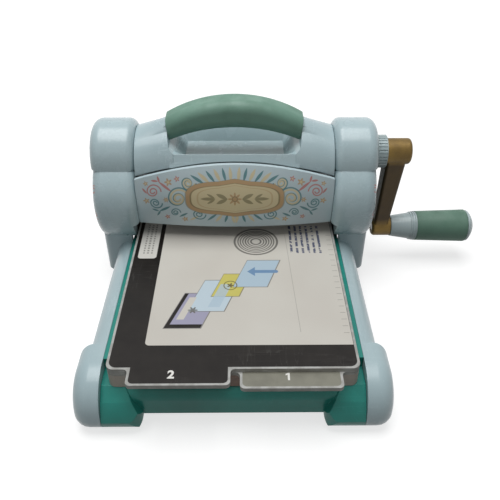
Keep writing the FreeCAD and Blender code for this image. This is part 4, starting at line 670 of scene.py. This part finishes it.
# Tab numbers: a white figure on the tab of each leaf, screen printed as a thin raised layer of slightly
# uneven ink. The 2 is set in type, and the 1 is drawn by its corners.
white_ink, shader, wire = new_finish("white_figure_ink")
spot, (x, y, z) = surface(wire)
worn = ramped(cloud(spot, 0.7, 3.0), 0.58, 0.78) * 0.4
wire.feed(shader.inputs["Base Color"], mixed(linear(226, 225, 220), linear(180, 178, 172), worn))
wire.feed(shader.inputs["Roughness"], 0.4 + 0.2 * cloud(spot, 2.0))
bumped(shader, wire, cloud(spot, 0.4), 0.15, 0.0002)
bpy.ops.object.text_add()
bpy.context.object.name = "tab_number_2"
two = bpy.context.object.data
two.body = "2"
two.size = 0.0084
two.align_x = "CENTER"
two.align_y = "CENTER"
two.offset = 0.0003
one = bpy.data.curves.new("tab_number_1", "CURVE")
one.dimensions = "2D"
one.fill_mode = "BOTH"
stroke = one.splines.new("POLY")
corners = ((-0.6, -2.9), (0.7, -2.9), (0.7, 2.9), (-0.2, 2.9), (-1.8, 1.9), (-1.8, 0.8), (-0.6, 1.3))
stroke.points.add(len(corners) - 1)
for point, (across, along) in zip(stroke.points, corners):
    point.co = (across / 1000, along / 1000, 0.0, 1.0)
stroke.use_cyclic_u = True
bpy.context.collection.objects.link(bpy.data.objects.new("tab_number_1", one))
bpy.ops.object.select_all(action="DESELECT")
ink_half_thickness = 0.00004
ink_lift = 0.00003
for figure, across, along, top in (("1", 33.6, -176.5, leaf_1_top), ("2", -37.3, -177.5, leaf_2_top)):
    number = bpy.data.objects["tab_number_" + figure]
    bpy.context.view_layer.objects.active = number
    number.select_set(True)
    number.data.extrude = ink_half_thickness
    number.data.resolution_u = 8
    bpy.ops.object.convert(target="MESH")
    number.location = (across / 1000, along / 1000, top / 1000 + ink_lift)
    bpy.ops.object.transform_apply(location=True, rotation=True, scale=True)
    number.data.materials.clear()
    number.data.materials.append(white_ink)
    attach(number, "leaf_" + figure + "_body")
    number.select_set(False)


# Crank collar and grip ends: pale blue ribbed collar on the right tower, the collar and the cap of the
# crank's grip. Satin mouldings with small flow marks.
collar_blue = linear(168, 184, 186)
collar_deep = linear(158, 174, 176)
material = moulded("collar_blue_moulding", collar_blue, collar_deep, blue_pale, 0.32, bevel=0.4)[0]
dress(material, "crank_collar", "grip_core", "grip_end_cap")


# Crank grip sleeve: the same sage soft rubber as the handle, moulded on the core between its collar and the
# cap, in darker greens than the handle's.
sleeve = linear(80, 114, 98)
sleeve_deep = linear(68, 100, 85)
sleeve_pale = linear(108, 140, 124)
dress(soft_touch("sage_sleeve_rubber", sleeve, sleeve_deep, sleeve_pale, top=45.0), "grip_sleeve")


# Crank arm: a die-cast arm with a recessed web, lacquered in a golden bronze with a fine metal flake. The
# recessed web between the two barrels is painted dark as shade.
material, shader, wire = new_finish("bronze_lacquer")
spot, (x, y, z) = surface(wire)
skin = mixed(linear(98, 77, 34), linear(124, 99, 45), ramped(cloud(spot, 12.0, 3.0), 0.35, 0.65))
flake = cloud(spot, 0.35, 1.0)
skin = mixed(skin, linear(172, 146, 88), ramped(flake, 0.62, 0.8) * 0.5)
skin = mixed(skin, linear(62, 47, 25), ramped(cloud(spot, 4.0, 4.0), 0.6, 0.8) * 0.5)
web_bottom = 38.0
web_top = 98.5
# painted shade: the recessed web between the barrels is darkened
web_shade = ramped(z, web_bottom, web_bottom + 5.0) * ramped(z, web_top, web_top - 4.5)
skin = mixed(skin, linear(38, 27, 13), web_shade * 0.86)
wire.feed(shader.inputs["Base Color"], skin)
wire.feed(shader.inputs["Roughness"], 0.38 + 0.15 * cloud(spot, 3.0, 3.0))
wire.feed(shader.inputs["Metallic"], 0.35 + 0.25 * flake)
soft_edge = wire.add("ShaderNodeBevel", {"Radius": 0.0006}, samples=4)
bumped(shader, wire, flake * 0.5 + cloud(spot, 2.2, 3.0), 0.16, 0.0003, soft_edge)
dress(material, "crank_arm")


# Steel parts: bright zinc screws, nuts, pins, rods and clips, the two ground rollers, and the cut gears with
# a film of oil. The rollers' grinding marks run round them.
def steel(name, colour, deep, roughness, drawn, grain=0.12):
    """Bare steel with grinding marks drawn out along one axis."""
    material, shader, wire = new_finish(name)
    spot, (x, y, z) = surface(wire)
    marks = cloud(stretched(spot, *drawn), 1.6, 4.0, 0.6)
    skin = mixed(deep, colour, ramped(marks, 0.3, 0.7))
    skin = mixed(skin, deep, ramped(cloud(spot, 7.0, 4.0), 0.55, 0.8) * 0.6)
    wire.feed(shader.inputs["Base Color"], skin)
    wire.feed(shader.inputs["Roughness"], roughness + 0.2 * (marks - 0.5))
    shader.inputs["Metallic"].default_value = 1.0
    bumped(shader, wire, marks + cloud(spot, 0.6) * 0.4, grain, 0.0002)
    return material


dress(steel("zinc_steel", linear(196, 198, 200), linear(150, 152, 156), 0.32, (1.0, 1.0, 1.0)),
      "cover_screws", "foot_screws", "tie_rods", "tie_rod_nuts", "hinge_pin", "crank_shaft", "crank_screw",
      "grip_spindle", "upper_roller_clips", "lower_roller_clips")
dress(steel("ground_roller_steel", linear(176, 178, 182), linear(140, 142, 146), 0.24, (3.0, 0.4, 0.4)),
      "upper_roller", "lower_roller")
dress(steel("oiled_gear_steel", linear(134, 132, 128), linear(84, 80, 74), 0.36, (1.0, 0.5, 0.5), 0.2),
      "roller_gear", "drive_pinion")


# Bearing bushes: the flanged bushes of the rollers and the crank, pressed from sintered bronze and pushed
# into the side plates. Their open pores hold oil.
material, shader, wire = new_finish("sintered_bronze")
spot, (x, y, z) = surface(wire)
pores = cloud(spot, 0.5, 2.0)
skin = mixed(linear(176, 138, 84), linear(120, 92, 54), ramped(pores, 0.5, 0.75))
wire.feed(shader.inputs["Base Color"], skin)
wire.feed(shader.inputs["Roughness"], 0.4 + 0.25 * pores)
shader.inputs["Metallic"].default_value = 0.9
bumped(shader, wire, 1.0 - pores, 0.3, 0.0002)
dress(material, "roller_bushes", "crank_bush")


# Side plates: laser-cut steel plates inside the towers, stove-enamelled nearly black. They carry the bushes
# and are joined by the tie rods.
material, shader, wire = new_finish("black_enamel")
spot, (x, y, z) = surface(wire)
peel = cloud(spot, 1.4, 2.0)
skin = mixed(linear(50, 52, 54), linear(66, 68, 70), ramped(cloud(spot, 18.0, 3.0), 0.35, 0.65))
skin = mixed(skin, linear(120, 120, 120), scuffs(spot, 6.0) * 0.5)
wire.feed(shader.inputs["Base Color"], skin)
wire.feed(shader.inputs["Roughness"], 0.35 + 0.2 * peel)
bumped(shader, wire, peel, 0.25, 0.0003)
dress(material, "left_side_plate", "right_side_plate")


# Rubber feet: four discs of black moulded rubber, matt and a little dusty. Each is screwed into its socket
# under a foot of the tray.
material, shader, wire = new_finish("foot_rubber")
spot, (x, y, z) = surface(wire)
dusty = ramped(cloud(spot, 3.0, 4.0), 0.45, 0.7)
wire.feed(shader.inputs["Base Color"], mixed(linear(38, 38, 38), linear(74, 72, 68), dusty * 0.7))
wire.feed(shader.inputs["Roughness"], 0.6 + 0.25 * dusty)
bumped(shader, wire, cloud(spot, 0.5, 2.0), 0.3, 0.0003)
dress(material, "rubber_feet")
